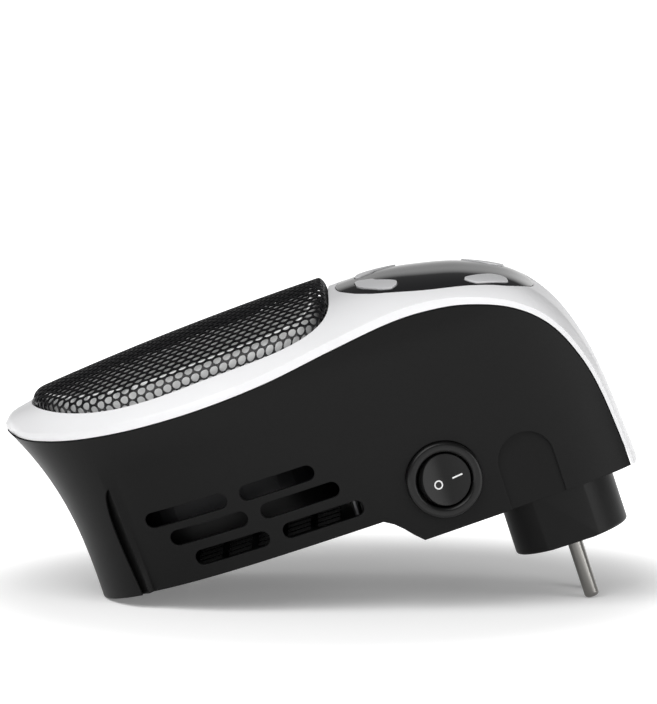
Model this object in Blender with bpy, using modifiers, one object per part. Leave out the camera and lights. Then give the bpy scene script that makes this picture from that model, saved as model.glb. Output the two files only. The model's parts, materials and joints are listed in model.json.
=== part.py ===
"""A plug-in fan heater, modelled lying down as it rests on a table: on its tail's back edge and on its pins' tips.

The heater is laid out in its own body frame. There +X runs along the body from the tail to the plug end,
+Z points out through the grille, -Y is the side with the rocker switch, and the origin is the middle of the
tail's back edge. The empty named lean turns that frame until the tail's edge and the pins' tips are level, and
puts the middle of the whole part's base at the world's origin. All lengths are in metres.
"""

import math

import bmesh
import bpy
import numpy as np
from mathutils import Matrix, Vector

# Driving dimensions of the body
BODY_LENGTH = 0.1913
BODY_HEIGHT = 0.0823
RING_WIDTH = 0.102
BACK_WIDTH = 0.092
TAIL_OVERHANG = 0.0127
PLUG_STEP = 0.0098
CROWN_LEVEL = BODY_HEIGHT - PLUG_STEP
HEAD_X = BODY_LENGTH - TAIL_OVERHANG

# Clearances and walls
CLEARANCE = 0.0003
OVERRUN = 0.004
HOUSING_WALL = 0.0024
COVER_WALL = 0.002
COVER_RING_SHARES = (0.06, 0.16, 0.28, 0.4, 0.53, 0.67, 0.83, 1.0)
COVER_SIDE_STEPS = 28

# The side profiles of the body. Each row is a station from the ring's tip at the tail to the head's lower end:
# the seam between housing and cover, the crown in the middle plane, and the height of the cover's rim band.
# The first two are shares of the body's length and height, and the third is a share of the rim band. The last
# number is the power of the crown's fall from the middle to the rim: the higher it is, the flatter the middle.
RIM_BAND = 0.0028
STATION_SHARES = (
    ((0.001, 0.868), (0.000, 0.883), 0.45, 2.8),
    ((0.017, 0.841), (0.017, 0.914), 0.70, 2.8),
    ((0.052, 0.816), (0.052, 0.931), 0.90, 2.8),
    ((0.123, 0.788), (0.123, 0.972), 1.00, 2.8),
    ((0.222, 0.770), (0.222, 0.990), 1.00, 2.8),
    ((0.338, 0.768), (0.338, 0.994), 1.00, 2.8),
    ((0.454, 0.785), (0.455, 0.992), 1.00, 2.8),
    ((0.570, 0.823), (0.571, 0.984), 1.00, 2.8),
    ((0.676, 0.852), (0.670, 0.983), 1.00, 3.2),
    ((0.747, 0.849), (0.751, 0.950), 1.00, 3.8),
    ((0.811, 0.821), (0.825, 0.902), 0.85, 4.0),
    ((0.879, 0.752), (0.897, 0.816), 0.70, 4.0),
    ((0.928, 0.646), (0.946, 0.682), 0.60, 4.0),
    ((0.959, 0.499), (0.975, 0.516), 0.50, 4.0),
    ((0.977, 0.318), (0.990, 0.326), 0.40, 4.0),
    ((0.988, 0.000), (1.000, 0.000), 0.30, 4.0),
)
PROFILE_STEPS = 240
PROFILE_OVERRUN_SHARE = 0.2
BISECTION_STEPS = 50
SKIRT = 0.003

# The plan of the body: an oval tail and a tapering, square-cornered head
WIDEST_SHARE = 0.39
WIDEST_X = WIDEST_SHARE * BODY_LENGTH - TAIL_OVERHANG
TAIL_ROUNDNESS = 2.35
HEAD_ROUNDNESS = 6.0
HEAD_TAPER_SHARE = 0.26
HEAD_TAPER_POWER = 1.6
RING_DROP = 0.011
RING_LEVEL = CROWN_LEVEL - RING_DROP
SIDE_DROP = 0.0205
SIDE_LEVEL = CROWN_LEVEL - SIDE_DROP
TAIL_FLARE_POWER = 2.6
SIDE_FLARE_POWER = 1.5
TAIL_STEPS = 10
HEAD_STEPS = 15
HOUSING_LEVEL_SHARES = (-0.25, 0.0, 0.2, 0.4, 0.55, 0.7, 0.85, 1.02, 1.25)

# The vent section ends short of the switch, and there a curve leads up to the deeper plug section
SWITCH_SETBACK = 0.0606
SWITCH_X = HEAD_X - SWITCH_SETBACK
SWITCH_LEAD = 0.0225
VENT_END_X = SWITCH_X - SWITCH_LEAD
STEP_LENGTH = 0.0107
STEP_END_X = VENT_END_X + STEP_LENGTH
STEP_CURVE_SHARES = ((0.0, 0.0), (0.28, 0.19), (0.52, 0.44), (0.74, 0.72), (1.0, 1.0))

# The scoop in each side: it starts at a step near the tail and fades towards the head and the seam
SCOOP_X = 0.016
SCOOP_LEAN = 0.0018
SCOOP_END_X = VENT_END_X
SCOOP_TOP_SHARE = 0.7
SCOOP_TOP = SCOOP_TOP_SHARE * RING_LEVEL
SCOOP_DEPTH = 0.0032
SCOOP_STEP = 0.0022
SCOOP_STEP_GROWTH = 0.0012

# Side vents: three rows of two slots
SLOT_HEIGHT = 0.0052
SLOT_DEPTH = 0.006
SLOT_ARC_STEPS = 4
SLOT_ROWS = (
    (0.0228, (0.0248, 0.0515), (0.0575, 0.0829)),
    (0.0152, (0.0301, 0.0559), (0.0606, 0.0869)),
    (0.0069, (0.0353, 0.0601), (0.0649, 0.0911)),
)

# The plug's axis, and the finger grips: arched recesses in both sides of the plug section, level with the plug
PLUG_SETBACK = 0.028
PLUG_X = HEAD_X - PLUG_SETBACK
GRIP_LEAD = 0.0061
GRIP_X = PLUG_X - GRIP_LEAD
GRIP_WIDTH = 0.0186
GRIP_APEX = 0.0131
GRIP_DEPTH = 0.0013
GRIP_SLANT_DEG = 9.0
GRIP_ARC_STEPS = 8

# Screws and their bosses
SCREW_SHANK_R = 0.0013
SCREW_HEAD_R = 0.0023
SCREW_HEAD_HEIGHT = 0.0013
SCREW_LENGTH = 0.009
SCREW_SIDES = 12
BOSS_R = 0.003
BOSS_SIDES = 12
TAIL_BOSS = (0.0195, 0.0275)
HEAD_BOSS_SETBACK = 0.0072
HEAD_BOSS = (VENT_END_X - HEAD_BOSS_SETBACK, 0.030)
REAR_BOSSES = (TAIL_BOSS, HEAD_BOSS)
RIB_WALL = 0.002
RIB_TOP = 0.014
RIB_FOOT = 0.001
TAIL_RIB_LENGTH = 0.0052
HEAD_RIB_OVERLAP = 0.0025
HEAD_RIB_END_X = VENT_END_X + HEAD_RIB_OVERLAP
COVER_POST_SETBACK = 0.0114
COVER_POST = (HEAD_X - COVER_POST_SETBACK, 0.0212)
COVER_POST_R = 0.003
BOARD_POST_LEAD = 0.0166
BOARD_POST_PITCH = 0.024
BOARD_POSTS = (
    (PLUG_X - BOARD_POST_LEAD, 0.0225),
    (PLUG_X - BOARD_POST_LEAD + BOARD_POST_PITCH, 0.0250),
)
BOARD_POST_R = 0.0024

# Back cover
BACK_COVER_WALL = 0.0024
COUNTERBORE_DEPTH = 0.0015
GRID_COLUMNS = 6
GRID_ROWS = 6
GRID_CENTRE_X = 0.053
GRID_OPENING = (0.0078, 0.0070)
GRID_PITCH = (0.0100, 0.0090)

# Control panel and its buttons
PANEL_SETBACK = 0.0755
PANEL_START_X = HEAD_X - PANEL_SETBACK
PANEL_LENGTH = 0.0609
PANEL_BORDER = 0.0137
PANEL_HALF_WIDTH = RING_WIDTH / 2 - PANEL_BORDER
PANEL_WALL = 0.002
PANEL_CUT_DEPTH = 0.0065
PANEL_RING_SHARES = (1.0, 0.84, 0.68, 0.52, 0.36, 0.2)
PANEL_OUTLINE_SHARES = (
    (0.0, 0.0), (0.007, 0.2), (0.023, 0.367), (0.085, 0.614), (0.148, 0.759), (0.209, 0.85), (0.333, 0.949),
    (0.455, 0.995), (0.578, 0.987), (0.7, 0.925), (0.819, 0.839), (0.877, 0.783), (0.936, 0.63), (0.974, 0.418),
    (0.993, 0.2), (1.0, 0.0),
)
TAIL_BUTTON_SHARES = (
    (0.108, 0.276), (0.118, 0.139), (0.194, 0.26), (0.225, 0.391), (0.314, 0.584), (0.323, 0.718), (0.296, 0.812),
    (0.273, 0.818), (0.217, 0.751), (0.13, 0.523),
)
HEAD_BUTTON_SHARES = (
    (0.675, 0.735), (0.693, 0.657), (0.803, 0.434), (0.865, 0.464), (0.882, 0.571), (0.872, 0.686), (0.755, 0.842),
    (0.714, 0.839), (0.681, 0.788),
)
BUTTON_PROUD = 0.0006
BUTTON_FLANGE = 0.0009
BUTTON_FLANGE_TOP = 0.0026
BUTTON_FLANGE_WALL = 0.001
BUTTON_STEM_R = 0.0016
BUTTON_TRAVEL = 0.0005

# Grille: it fills the ring up to its borders, and ends short of the panel
RING_BORDER = 0.007
RING_TAIL_BORDER = 0.0112
PANEL_GAP = 0.0034
GRILLE_START_X = RING_TAIL_BORDER - TAIL_OVERHANG
GRILLE_END_X = PANEL_START_X - PANEL_GAP
GRILLE_WIDEST_SHARE = 0.509
GRILLE_CENTRE_X = GRILLE_START_X + (GRILLE_END_X - GRILLE_START_X) * GRILLE_WIDEST_SHARE
GRILLE_TAIL_LENGTH = GRILLE_CENTRE_X - GRILLE_START_X
GRILLE_HEAD_LENGTH = GRILLE_END_X - GRILLE_CENTRE_X
GRILLE_HALF_WIDTH = RING_WIDTH / 2 - RING_BORDER
GRILLE_TAIL_ROUNDNESS = 2.3
GRILLE_HEAD_ROUNDNESS = 6.0
GRILLE_STEPS = 32
GRILLE_SHEET = 0.0009
GRILLE_GAP = 0.0007
GRILLE_FLANGE = 0.0024
GRILLE_WALL_RISE = 0.0054
GRILLE_SHOULDER = 0.0042
GRILLE_END_SHOULDER = 0.003
GRILLE_END_POWER = 4
GRILLE_SHOULDER_SHARES = (0.35, 1.0)
GRILLE_CROWN = 0.0014
GRILLE_DOME_LEVEL = CROWN_LEVEL + GRILLE_CROWN
GRILLE_DOME_RISE = 0.0028
GRILLE_END_SAG = 0.0012
GRILLE_SIDE_SAG = 0.009
GRILLE_RING_SHARES = (0.74, 0.5, 0.27)
GRILLE_BAR_SHARE = 0.17

# Collar behind the grille
COLLAR_INSET = 0.0042
COLLAR_WALL = 0.0007
COLLAR_DROP = 0.0026
COLLAR_PORT = (0.012, 0.028, 0.0082)

# Control board under the panel
CONTROL_BOARD = (0.048, 0.053, 0.0014)
CONTROL_BOARD_SETBACK = 0.0334
CONTROL_BOARD_X = PANEL_START_X + CONTROL_BOARD_SETBACK
CONTROL_BOARD_DEPTH = 0.0108
CONTROL_BOARD_PITCH_DEG = 15.5
BOARD_BOSS_R = 0.0022
BOARD_BOSS_PLACE = (0.0045, 0.0225)
TACT_SIZE = (0.006, 0.006, 0.0032)
DISPLAY_SIZE = (0.022, 0.014, 0.0045)

# Rocker switch in the near wall
SWITCH_Z = 0.0067
SWITCH_BEZEL_R = 0.0122
SWITCH_BEZEL_HEIGHT = 0.0022
SWITCH_BODY_R = 0.0102
SWITCH_BODY_DEPTH = 0.0165
SWITCH_OPENING_R = 0.00895
SWITCH_CAVITY_DEPTH = 0.0085
SWITCH_BLADE = (0.0048, 0.006, 0.0008)
SWITCH_BLADE_PITCH = 0.007
ROCKER_R = 0.00865
ROCKER_PIVOT_DEPTH = -0.0008
ROCKER_BACK = 0.0042
ROCKER_FACE = 0.0024
ROCKER_FACE_CURVE_R = 0.024
ROCKER_TILT_DEG = 8.0
TRUNNION_R = 0.0011
TRUNNION_LENGTH = 0.0009
SWITCH_SIDES = 32

# Plug
PLUG_R = 0.0189
PLUG_FACE_Z = -0.0299
PLUG_FLANGE_R = 0.0216
PLUG_FLANGE_WALL = 0.0022
PLUG_STUB_R = 0.0150
PLUG_STUB_HEIGHT = 0.0050
PLUG_SIDES = 40
PLUG_EDGE_R = 0.0008
NOTCH_WIDTH = 0.0187
NOTCH_DEPTH = 0.0021
PIN_R = 0.0024
PIN_LENGTH = 0.0195
PIN_PITCH = 0.019
PIN_OFFSET = 0.0003
PIN_X = PLUG_X + PIN_OFFSET
PIN_CLEARANCE = 0.0002
PIN_TAIL = 0.003
PIN_TIP_R = 0.0013
PIN_SIDES = 20

# Fan
FAN_X = GRILLE_CENTRE_X
SHROUD_DROP = 0.0345
SHROUD_BASE = CROWN_LEVEL - SHROUD_DROP
SHROUD_PLATE = 0.002
SHROUD_OVERLAP = 0.008
SHROUD_END_X = VENT_END_X + SHROUD_OVERLAP
TUBE_MARGIN = 0.0076
TUBE_R = BACK_WIDTH / 2 - HOUSING_WALL - TUBE_MARGIN
TUBE_WALL = 0.0018
TUBE_BOTTOM = 0.0165
SPIDER_ARMS = 4
SPIDER_ARM_WIDTH = 0.004
SPIDER_HEIGHT = 0.003
CUP_R = 0.0142
MOTOR_R = 0.012
MOTOR_HEIGHT = 0.0145
MOTOR_LIFT = 0.0052
SHAFT_R = 0.0012
SHAFT_BURIED = 0.004
HUB_R = 0.0115
HUB_HEIGHT = 0.0105
HUB_WALL = 0.0018
BLADES = 7
BLADE_TIP_CLEARANCE = 0.0014
BLADE_CHORD = 0.0165
BLADE_THICKNESS = 0.0014
BLADE_PITCH_DEG = 33.0
FAN_SIDES = 40

# Heater
HEATER_LENGTH = 0.062
HEATER_HEIGHT = 0.0095
HEATER_MARGIN = 0.0108
HEATER_RIM = 0.006
HEATER_OUTER = (HEATER_LENGTH, 2 * (GRILLE_HALF_WIDTH - COLLAR_INSET - HEATER_MARGIN), HEATER_HEIGHT)
HEATER_WINDOW = (HEATER_OUTER[0] - 2 * HEATER_RIM, HEATER_OUTER[1] - 2 * HEATER_RIM)
HEATER_LEDGE = 0.0014
ELEMENT_HEIGHT = 0.0072
ELEMENT_BAR = 0.0022
FIN_COUNT = 12
FIN_GAP_SHARE = 0.62
CUTOUT_R = 0.0048
CUTOUT_HEIGHT = 0.0046
FUSE_R = 0.0018
FUSE_LENGTH = 0.009
SENSOR_SETBACK = 0.0149
SENSOR_X = SHROUD_END_X - SENSOR_SETBACK
SENSOR_Y = 0.013

# Power board over the plug
POWER_BOARD = (0.033, 0.056, 0.0016)
POWER_BOARD_LEAD = 0.0041
POWER_BOARD_X = PLUG_X - POWER_BOARD_LEAD
POWER_BOARD_Z = 0.0142
RELAY_SIZE = (0.015, 0.019, 0.0155)
CAPACITOR_SIZE = (0.008, 0.017, 0.0125)
TERMINAL_SIZE = (0.009, 0.022, 0.0095)

# Leads inside the body
LEAD_R = 0.0009
LEAD_ROUND_STEPS = 1
LEAD_STEPS = 14

BLACK_SHELL = ((0.013, 0.013, 0.014), 0.42, 0.0)
PALETTE = {
    "shell_black": BLACK_SHELL,
    "cover_white": ((0.86, 0.86, 0.87), 0.2, 0.0),
    "grille_black": ((0.012, 0.012, 0.013), 0.35, 0.0),
    "collar_metal": ((0.75, 0.75, 0.76), 0.25, 1.0),
    "panel_gloss": ((0.01, 0.01, 0.011), 0.08, 0.0),
    "button_silver": ((0.78, 0.78, 0.79), 0.3, 0.0),
    "pin_nickel": ((0.62, 0.6, 0.57), 0.25, 1.0),
    "steel": ((0.5, 0.5, 0.51), 0.35, 1.0),
    "board_green": ((0.03, 0.16, 0.07), 0.5, 0.0),
    "component_dark": ((0.03, 0.03, 0.035), 0.5, 0.0),
    "element_aluminium": ((0.7, 0.7, 0.7), 0.35, 1.0),
    "frame_beige": ((0.55, 0.5, 0.42), 0.6, 0.0),
    "lead_red": ((0.45, 0.03, 0.02), 0.5, 0.0),
}

PARTS = bpy.data.collections.new("plug_in_fan_heater")
CUTTERS = bpy.data.collections.new("cutters")


def clear_scene():
    for obj in list(bpy.data.objects):
        bpy.data.objects.remove(obj, do_unlink=True)
    for collection in (PARTS, CUTTERS):
        bpy.context.scene.collection.children.link(collection)


def make_material(name):
    colour, roughness, metallic = PALETTE[name]
    material = bpy.data.materials.get(name) or bpy.data.materials.new(name)
    material.use_nodes = True
    shader = material.node_tree.nodes["Principled BSDF"]
    shader.inputs["Base Color"].default_value = (*colour, 1.0)
    shader.inputs["Roughness"].default_value = roughness
    shader.inputs["Metallic"].default_value = metallic
    material.diffuse_color = (*colour, 1.0)
    return material


# Mesh helpers


def add_object(name, shape, collection=PARTS):
    """Turns a bmesh into an object of the given collection."""
    bmesh.ops.recalc_face_normals(shape, faces=shape.faces)
    mesh = bpy.data.meshes.new(name)
    shape.to_mesh(mesh)
    shape.free()
    obj = bpy.data.objects.new(name, mesh)
    collection.objects.link(obj)
    if collection is CUTTERS:
        obj.hide_render = True
        obj.display_type = "WIRE"
    return obj


def box_object(name, size, centre, collection=CUTTERS, turn=None):
    shape = bmesh.new()
    bmesh.ops.create_cube(shape, size=1.0)
    bmesh.ops.scale(shape, vec=size, verts=shape.verts)
    if turn is not None:
        bmesh.ops.transform(shape, matrix=turn, verts=shape.verts)
    bmesh.ops.translate(shape, vec=centre, verts=shape.verts)
    return add_object(name, shape, collection)


def rod_object(name, radius, low, high, place, sides, collection=CUTTERS):
    """An upright cylinder from the level low to the level high at place, which is (x, y)."""
    shape = bmesh.new()
    bmesh.ops.create_cone(
        shape, cap_ends=True, segments=sides, radius1=radius, radius2=radius, depth=high - low
    )
    bmesh.ops.translate(shape, vec=(*place, (low + high) / 2), verts=shape.verts)
    return add_object(name, shape, collection)


def turned_object(name, profile, sides, collection=PARTS):
    """Turns a closed (radius, level) profile round the Z axis; a profile that meets the axis is capped by it."""
    shape = bmesh.new()
    points = [shape.verts.new((radius, 0.0, level)) for radius, level in profile]
    edges = [shape.edges.new(pair) for pair in zip(points, points[1:])]
    if profile[0][0] > 0.0 and profile[-1][0] > 0.0:
        edges.append(shape.edges.new((points[-1], points[0])))
    bmesh.ops.spin(
        shape, geom=points + edges, cent=(0, 0, 0), axis=(0, 0, 1), angle=math.tau, steps=sides, use_duplicate=False
    )
    bmesh.ops.remove_doubles(shape, verts=shape.verts, dist=MERGE)
    return add_object(name, shape, collection)


MERGE = 1e-6


def loop_mesh(loops, closed_ends=True):
    """Joins equal loops of points with quads, and closes the first and the last one with a face."""
    shape = bmesh.new()
    rings = [[shape.verts.new(point) for point in loop] for loop in loops]
    for lower, upper in zip(rings, rings[1:]):
        for index in range(len(lower)):
            following = (index + 1) % len(lower)
            shape.faces.new((lower[index], lower[following], upper[following], upper[index]))
    if closed_ends:
        shape.faces.new(list(reversed(rings[0])))
        shape.faces.new(rings[-1])
    return shape


def prism_object(name, outline, low, high, axis="Y", collection=CUTTERS):
    """A flat outline extruded along Y, from (x, z) points, or along Z, from (x, y) points."""
    if axis == "Y":
        loops = [[(x, level, z) for x, z in outline] for level in (low, high)]
    else:
        loops = [[(x, y, level) for x, y in outline] for level in (low, high)]
    return add_object(name, loop_mesh(loops), collection)


def combine(target, other, operation, remove=True):
    """Applies a Boolean to the target's mesh and removes the other object."""
    modifier = target.modifiers.new(operation.lower(), "BOOLEAN")
    modifier.operation = operation
    modifier.object = other
    modifier.solver = "EXACT"
    bpy.context.view_layer.update()
    graph = bpy.context.evaluated_depsgraph_get()
    mesh = bpy.data.meshes.new_from_object(target.evaluated_get(graph))
    target.modifiers.clear()
    old = target.data
    target.data = mesh
    bpy.data.meshes.remove(old)
    mesh.name = target.name
    if remove:
        bpy.data.objects.remove(other, do_unlink=True)


def cut(target, *cutters):
    for cutter in cutters:
        combine(target, cutter, "DIFFERENCE")


def join(target, *others):
    for other in others:
        combine(target, other, "UNION")


def thicken(obj, wall):
    """Gives an open surface its wall, inwards from its outer face."""
    modifier = obj.modifiers.new("wall", "SOLIDIFY")
    modifier.thickness = wall
    modifier.offset = -1.0
    bpy.context.view_layer.update()
    graph = bpy.context.evaluated_depsgraph_get()
    mesh = bpy.data.meshes.new_from_object(obj.evaluated_get(graph))
    obj.modifiers.clear()
    old = obj.data
    obj.data = mesh
    bpy.data.meshes.remove(old)
    mesh.name = obj.name


def finish(obj, material, smooth_deg=35.0):
    mesh = obj.data
    mesh.materials.clear()
    mesh.materials.append(make_material(material))
    mesh.shade_smooth()
    mesh.set_sharp_from_angle(angle=math.radians(smooth_deg))
    return obj


# The body's profiles


def spline(points, place):
    """A smooth curve through equally spaced points, at a place from 0 to the last point's index."""
    index = min(int(place), len(points) - 2)
    t = place - index
    before = points[index - 1] if index > 0 else 2 * points[0] - points[1]
    start, end = points[index], points[index + 1]
    after = points[index + 2] if index + 2 < len(points) else 2 * points[-1] - points[-2]
    return 0.5 * (
        2 * start
        + (end - before) * t
        + (2 * before - 5 * start + 4 * end - after) * t**2
        + (3 * start - before - 3 * end + after) * t**3
    )


def body_point(shares):
    return np.array([shares[0] * BODY_LENGTH - TAIL_OVERHANG, shares[1] * BODY_HEIGHT - PLUG_STEP])


def flare(level, top, power):
    """How far a flare has opened at a level: 0 at the back face and 1 from its top up."""
    return min(max(level / top, 0.0), 1.0) ** power


def half_width(x, level, inset=0.0):
    """Half the plan's width at a place along the body and a level, drawn in by an inset, without the scoop."""
    opening = flare(level, SIDE_LEVEL, SIDE_FLARE_POWER)
    full = (BACK_WIDTH + (RING_WIDTH - BACK_WIDTH) * opening) / 2 - inset
    if x <= WIDEST_X:
        share = min(max((WIDEST_X - x) / (WIDEST_X - tail_x(level) - inset), 0.0), 1.0)
        return full * (1 - share**TAIL_ROUNDNESS) ** (1 / TAIL_ROUNDNESS)
    share = min((x - WIDEST_X) / (HEAD_X + COVER_WALL - inset - WIDEST_X), 1.0)
    taper = 1 - HEAD_TAPER_SHARE * share**HEAD_TAPER_POWER
    return full * taper * (1 - share**HEAD_ROUNDNESS) ** (1 / HEAD_ROUNDNESS)


def tail_x(level):
    """The tail's end at a level."""
    return -TAIL_OVERHANG * flare(level, RING_LEVEL, TAIL_FLARE_POWER)


def scoop_share(level):
    return min(max(level / SCOOP_TOP, 0.0), 1.0)


def scoop_depth(x, level):
    """The scoop's depth: it fades along the body, and towards its top."""
    along = min(max(1 - (x - SCOOP_X) / (SCOOP_END_X - SCOOP_X), 0.0), 1.0)
    return SCOOP_DEPTH * along * math.sqrt(1 - scoop_share(level))


def sample_profiles():
    """The seam, the rim's top, the crown and the half-widths over the crown's length, to a little past the head."""
    seam = [body_point(row[0]) for row in STATION_SHARES]
    crown = [body_point(row[1]) for row in STATION_SHARES]
    band = [np.array([row[2] * RIM_BAND]) for row in STATION_SHARES]
    power = [np.array([row[3]]) for row in STATION_SHARES]
    for rows in (seam, crown, band, power):
        rows.append(2 * rows[-1] - rows[-2])
    places = np.linspace(0.0, len(STATION_SHARES) - 1 + PROFILE_OVERRUN_SHARE, PROFILE_STEPS)
    seam = np.array([spline(seam, place) for place in places])
    crown = np.array([spline(crown, place) for place in places])
    band = np.array([spline(band, place) for place in places])
    power = np.array([spline(power, place)[0] for place in places])
    along = np.gradient(seam, axis=0)
    along /= np.linalg.norm(along, axis=1)[:, None]
    rim = seam + band * np.stack([-along[:, 1], along[:, 0]], axis=1)
    widths = np.array([half_width(x, level) for x, level in seam])
    steps = np.linalg.norm(np.diff(crown, axis=0), axis=1)
    lengths = np.concatenate([[0.0], np.cumsum(steps)])
    return {"length": lengths, "seam": seam, "rim": rim, "crown": crown, "width": widths, "power": power}


PROFILE = sample_profiles()
CROWN_RUN = PROFILE["length"][-1]


def at_run(name, run):
    """A profile's value at a distance along the crown from the ring's tip."""
    table = PROFILE[name]
    if table.ndim == 1:
        return float(np.interp(run, PROFILE["length"], table))
    return np.array([np.interp(run, PROFILE["length"], table[:, column]) for column in range(2)])


def run_at(x):
    """The distance along the crown at which it reaches a place along the body."""
    return float(np.interp(x, PROFILE["crown"][:, 0], PROFILE["length"]))


def crown_surface(run, across):
    crown, rim, width = at_run("crown", run), at_run("rim", run), at_run("width", run)
    share = abs(across / width) ** at_run("power", run)
    x, level = crown + (rim - crown) * share
    return Vector((x, across, level))


def crown_normal(run, across):
    step = RIM_BAND / 4
    along = crown_surface(min(run + step, CROWN_RUN), across) - crown_surface(max(run - step, 0.0), across)
    sideways = crown_surface(run, across + step) - crown_surface(run, across - step)
    return along.cross(sideways).normalized()


def crown_point(run, across, above=0.0):
    """A point over (above > 0) or under the crown's surface, along its normal."""
    point = crown_surface(run, across)
    return point + crown_normal(run, across) * above if above else point


def crown_at(x, y):
    """The crown's surface over a place in the plan."""
    low, high = 0.0, CROWN_RUN
    for _ in range(BISECTION_STEPS):
        middle = (low + high) / 2
        if crown_surface(middle, y).x < x:
            low = middle
        else:
            high = middle
    return crown_surface(low, y)


# Outlines


def side_outline(level, inset):
    """The +Y half of the body's plan at a level, from the tail to the head, drawn in by an inset."""
    tail_reach = WIDEST_X - tail_x(level) - inset
    head_reach = HEAD_X + COVER_WALL - inset - WIDEST_X
    crease = SCOOP_X - SCOOP_LEAN * scoop_share(level)
    start = crease + SCOOP_STEP + SCOOP_STEP_GROWTH * scoop_share(level)
    crease_angle = math.acos((WIDEST_X - crease) / tail_reach)
    start_angle = -math.asin((WIDEST_X - start) / tail_reach)
    points = []
    for step in range(TAIL_STEPS + 1):
        x = WIDEST_X - tail_reach * math.cos(crease_angle * step / TAIL_STEPS)
        points.append((x, half_width(x, level, inset) if step else 0.0))
    for step in range(HEAD_STEPS):
        angle = start_angle + (math.pi / 2 - start_angle) * step / HEAD_STEPS
        x = WIDEST_X + math.sin(angle) * (head_reach if angle > 0 else tail_reach)
        points.append((x, half_width(x, level, inset) - scoop_depth(x, level)))
    return points + [(WIDEST_X + head_reach, 0.0)]


def body_outline(level, inset=0.0):
    """The whole plan at a level as one loop of (x, y) points."""
    half = side_outline(level, inset)
    return half + [(x, -y) for x, y in reversed(half[1:-1])]


def envelope(name, inset):
    """The body's outer form, or its hollow, as one closed loft from below the back to over the crown."""
    loops = []
    for share in HOUSING_LEVEL_SHARES:
        level = share * RING_LEVEL
        loops.append([(x, y, level) for x, y in body_outline(level, inset)])
    return add_object(name, loop_mesh(loops), CUTTERS)


def seam_line(drop):
    """The seam's (x, z) points from the tail to the head's lower end, lowered along its normal."""
    points = []
    for run in np.linspace(0.0, CROWN_RUN, 5 * len(STATION_SHARES)):
        seam, rim = at_run("seam", run), at_run("rim", run)
        outward = (rim - seam) / np.linalg.norm(rim - seam)
        points.append(tuple(seam - outward * drop))
    return points


def step_line(rise):
    """The curve between the vent section's back and the plug section's, moved inwards by rise."""
    span = STEP_END_X - VENT_END_X
    return [
        (VENT_END_X + along * span + rise * along, rise - down * PLUG_STEP)
        for along, down in STEP_CURVE_SHARES
    ]


def under_seam(name, drop, below=0.0):
    """A prism that fills the body's side profile under the seam, down to its back faces or below them."""
    side = RING_WIDTH / 2 + OVERRUN
    tail = -TAIL_OVERHANG - OVERRUN
    seam = [point for point in seam_line(drop) if point[1] > -PLUG_STEP]
    step = [(x, level - below) for x, level in step_line(0.0)]
    outline = [(tail, -below), *step, (seam[-1][0], -PLUG_STEP - below), *reversed(seam), (tail, seam[0][1])]
    return prism_object(name, outline, -side, side)


# Housing


def slot_cutters():
    """Round-ended slots through both side walls."""
    radius = SLOT_HEIGHT / 2
    for level, *spans in SLOT_ROWS:
        for start, end in spans:
            outline = []
            for centre, turn in ((end - radius, -math.pi / 2), (start + radius, math.pi / 2)):
                for step in range(SLOT_ARC_STEPS + 1):
                    angle = turn + math.pi * step / SLOT_ARC_STEPS
                    outline.append((centre + radius * math.cos(angle), level + radius * math.sin(angle)))
            outer = RING_WIDTH / 2 + OVERRUN
            inner = min(half_width(start, level), half_width(end, level)) - SLOT_DEPTH
            for low, high in ((inner, outer), (-outer, -inner)):
                yield prism_object("slot", outline, low, high)


def grip_cutter(side):
    """An arched recess whose floor slants deeper towards the head."""
    radius = GRIP_WIDTH / 2
    centre_level = GRIP_APEX - radius
    floor_level = -PLUG_STEP - OVERRUN
    outline = [(radius, floor_level)]
    for step in range(GRIP_ARC_STEPS + 1):
        angle = math.pi * step / GRIP_ARC_STEPS
        outline.append((radius * math.cos(angle), centre_level + radius * math.sin(angle)))
    outline.append((-radius, floor_level))
    cutter = prism_object("grip", outline, 0.0, RING_WIDTH / 2)
    width = half_width(GRIP_X, 0.0)
    place = Matrix.Translation((GRIP_X, side * (width - GRIP_DEPTH), 0.0))
    turn = Matrix.Rotation(math.radians(-GRIP_SLANT_DEG), 4, "Z")
    flip = Matrix.Scale(side, 4, Vector((0, 1, 0)))
    cutter.data.transform(place @ flip @ turn)
    if side < 0:
        cutter.data.flip_normals()
    return cutter


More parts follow.
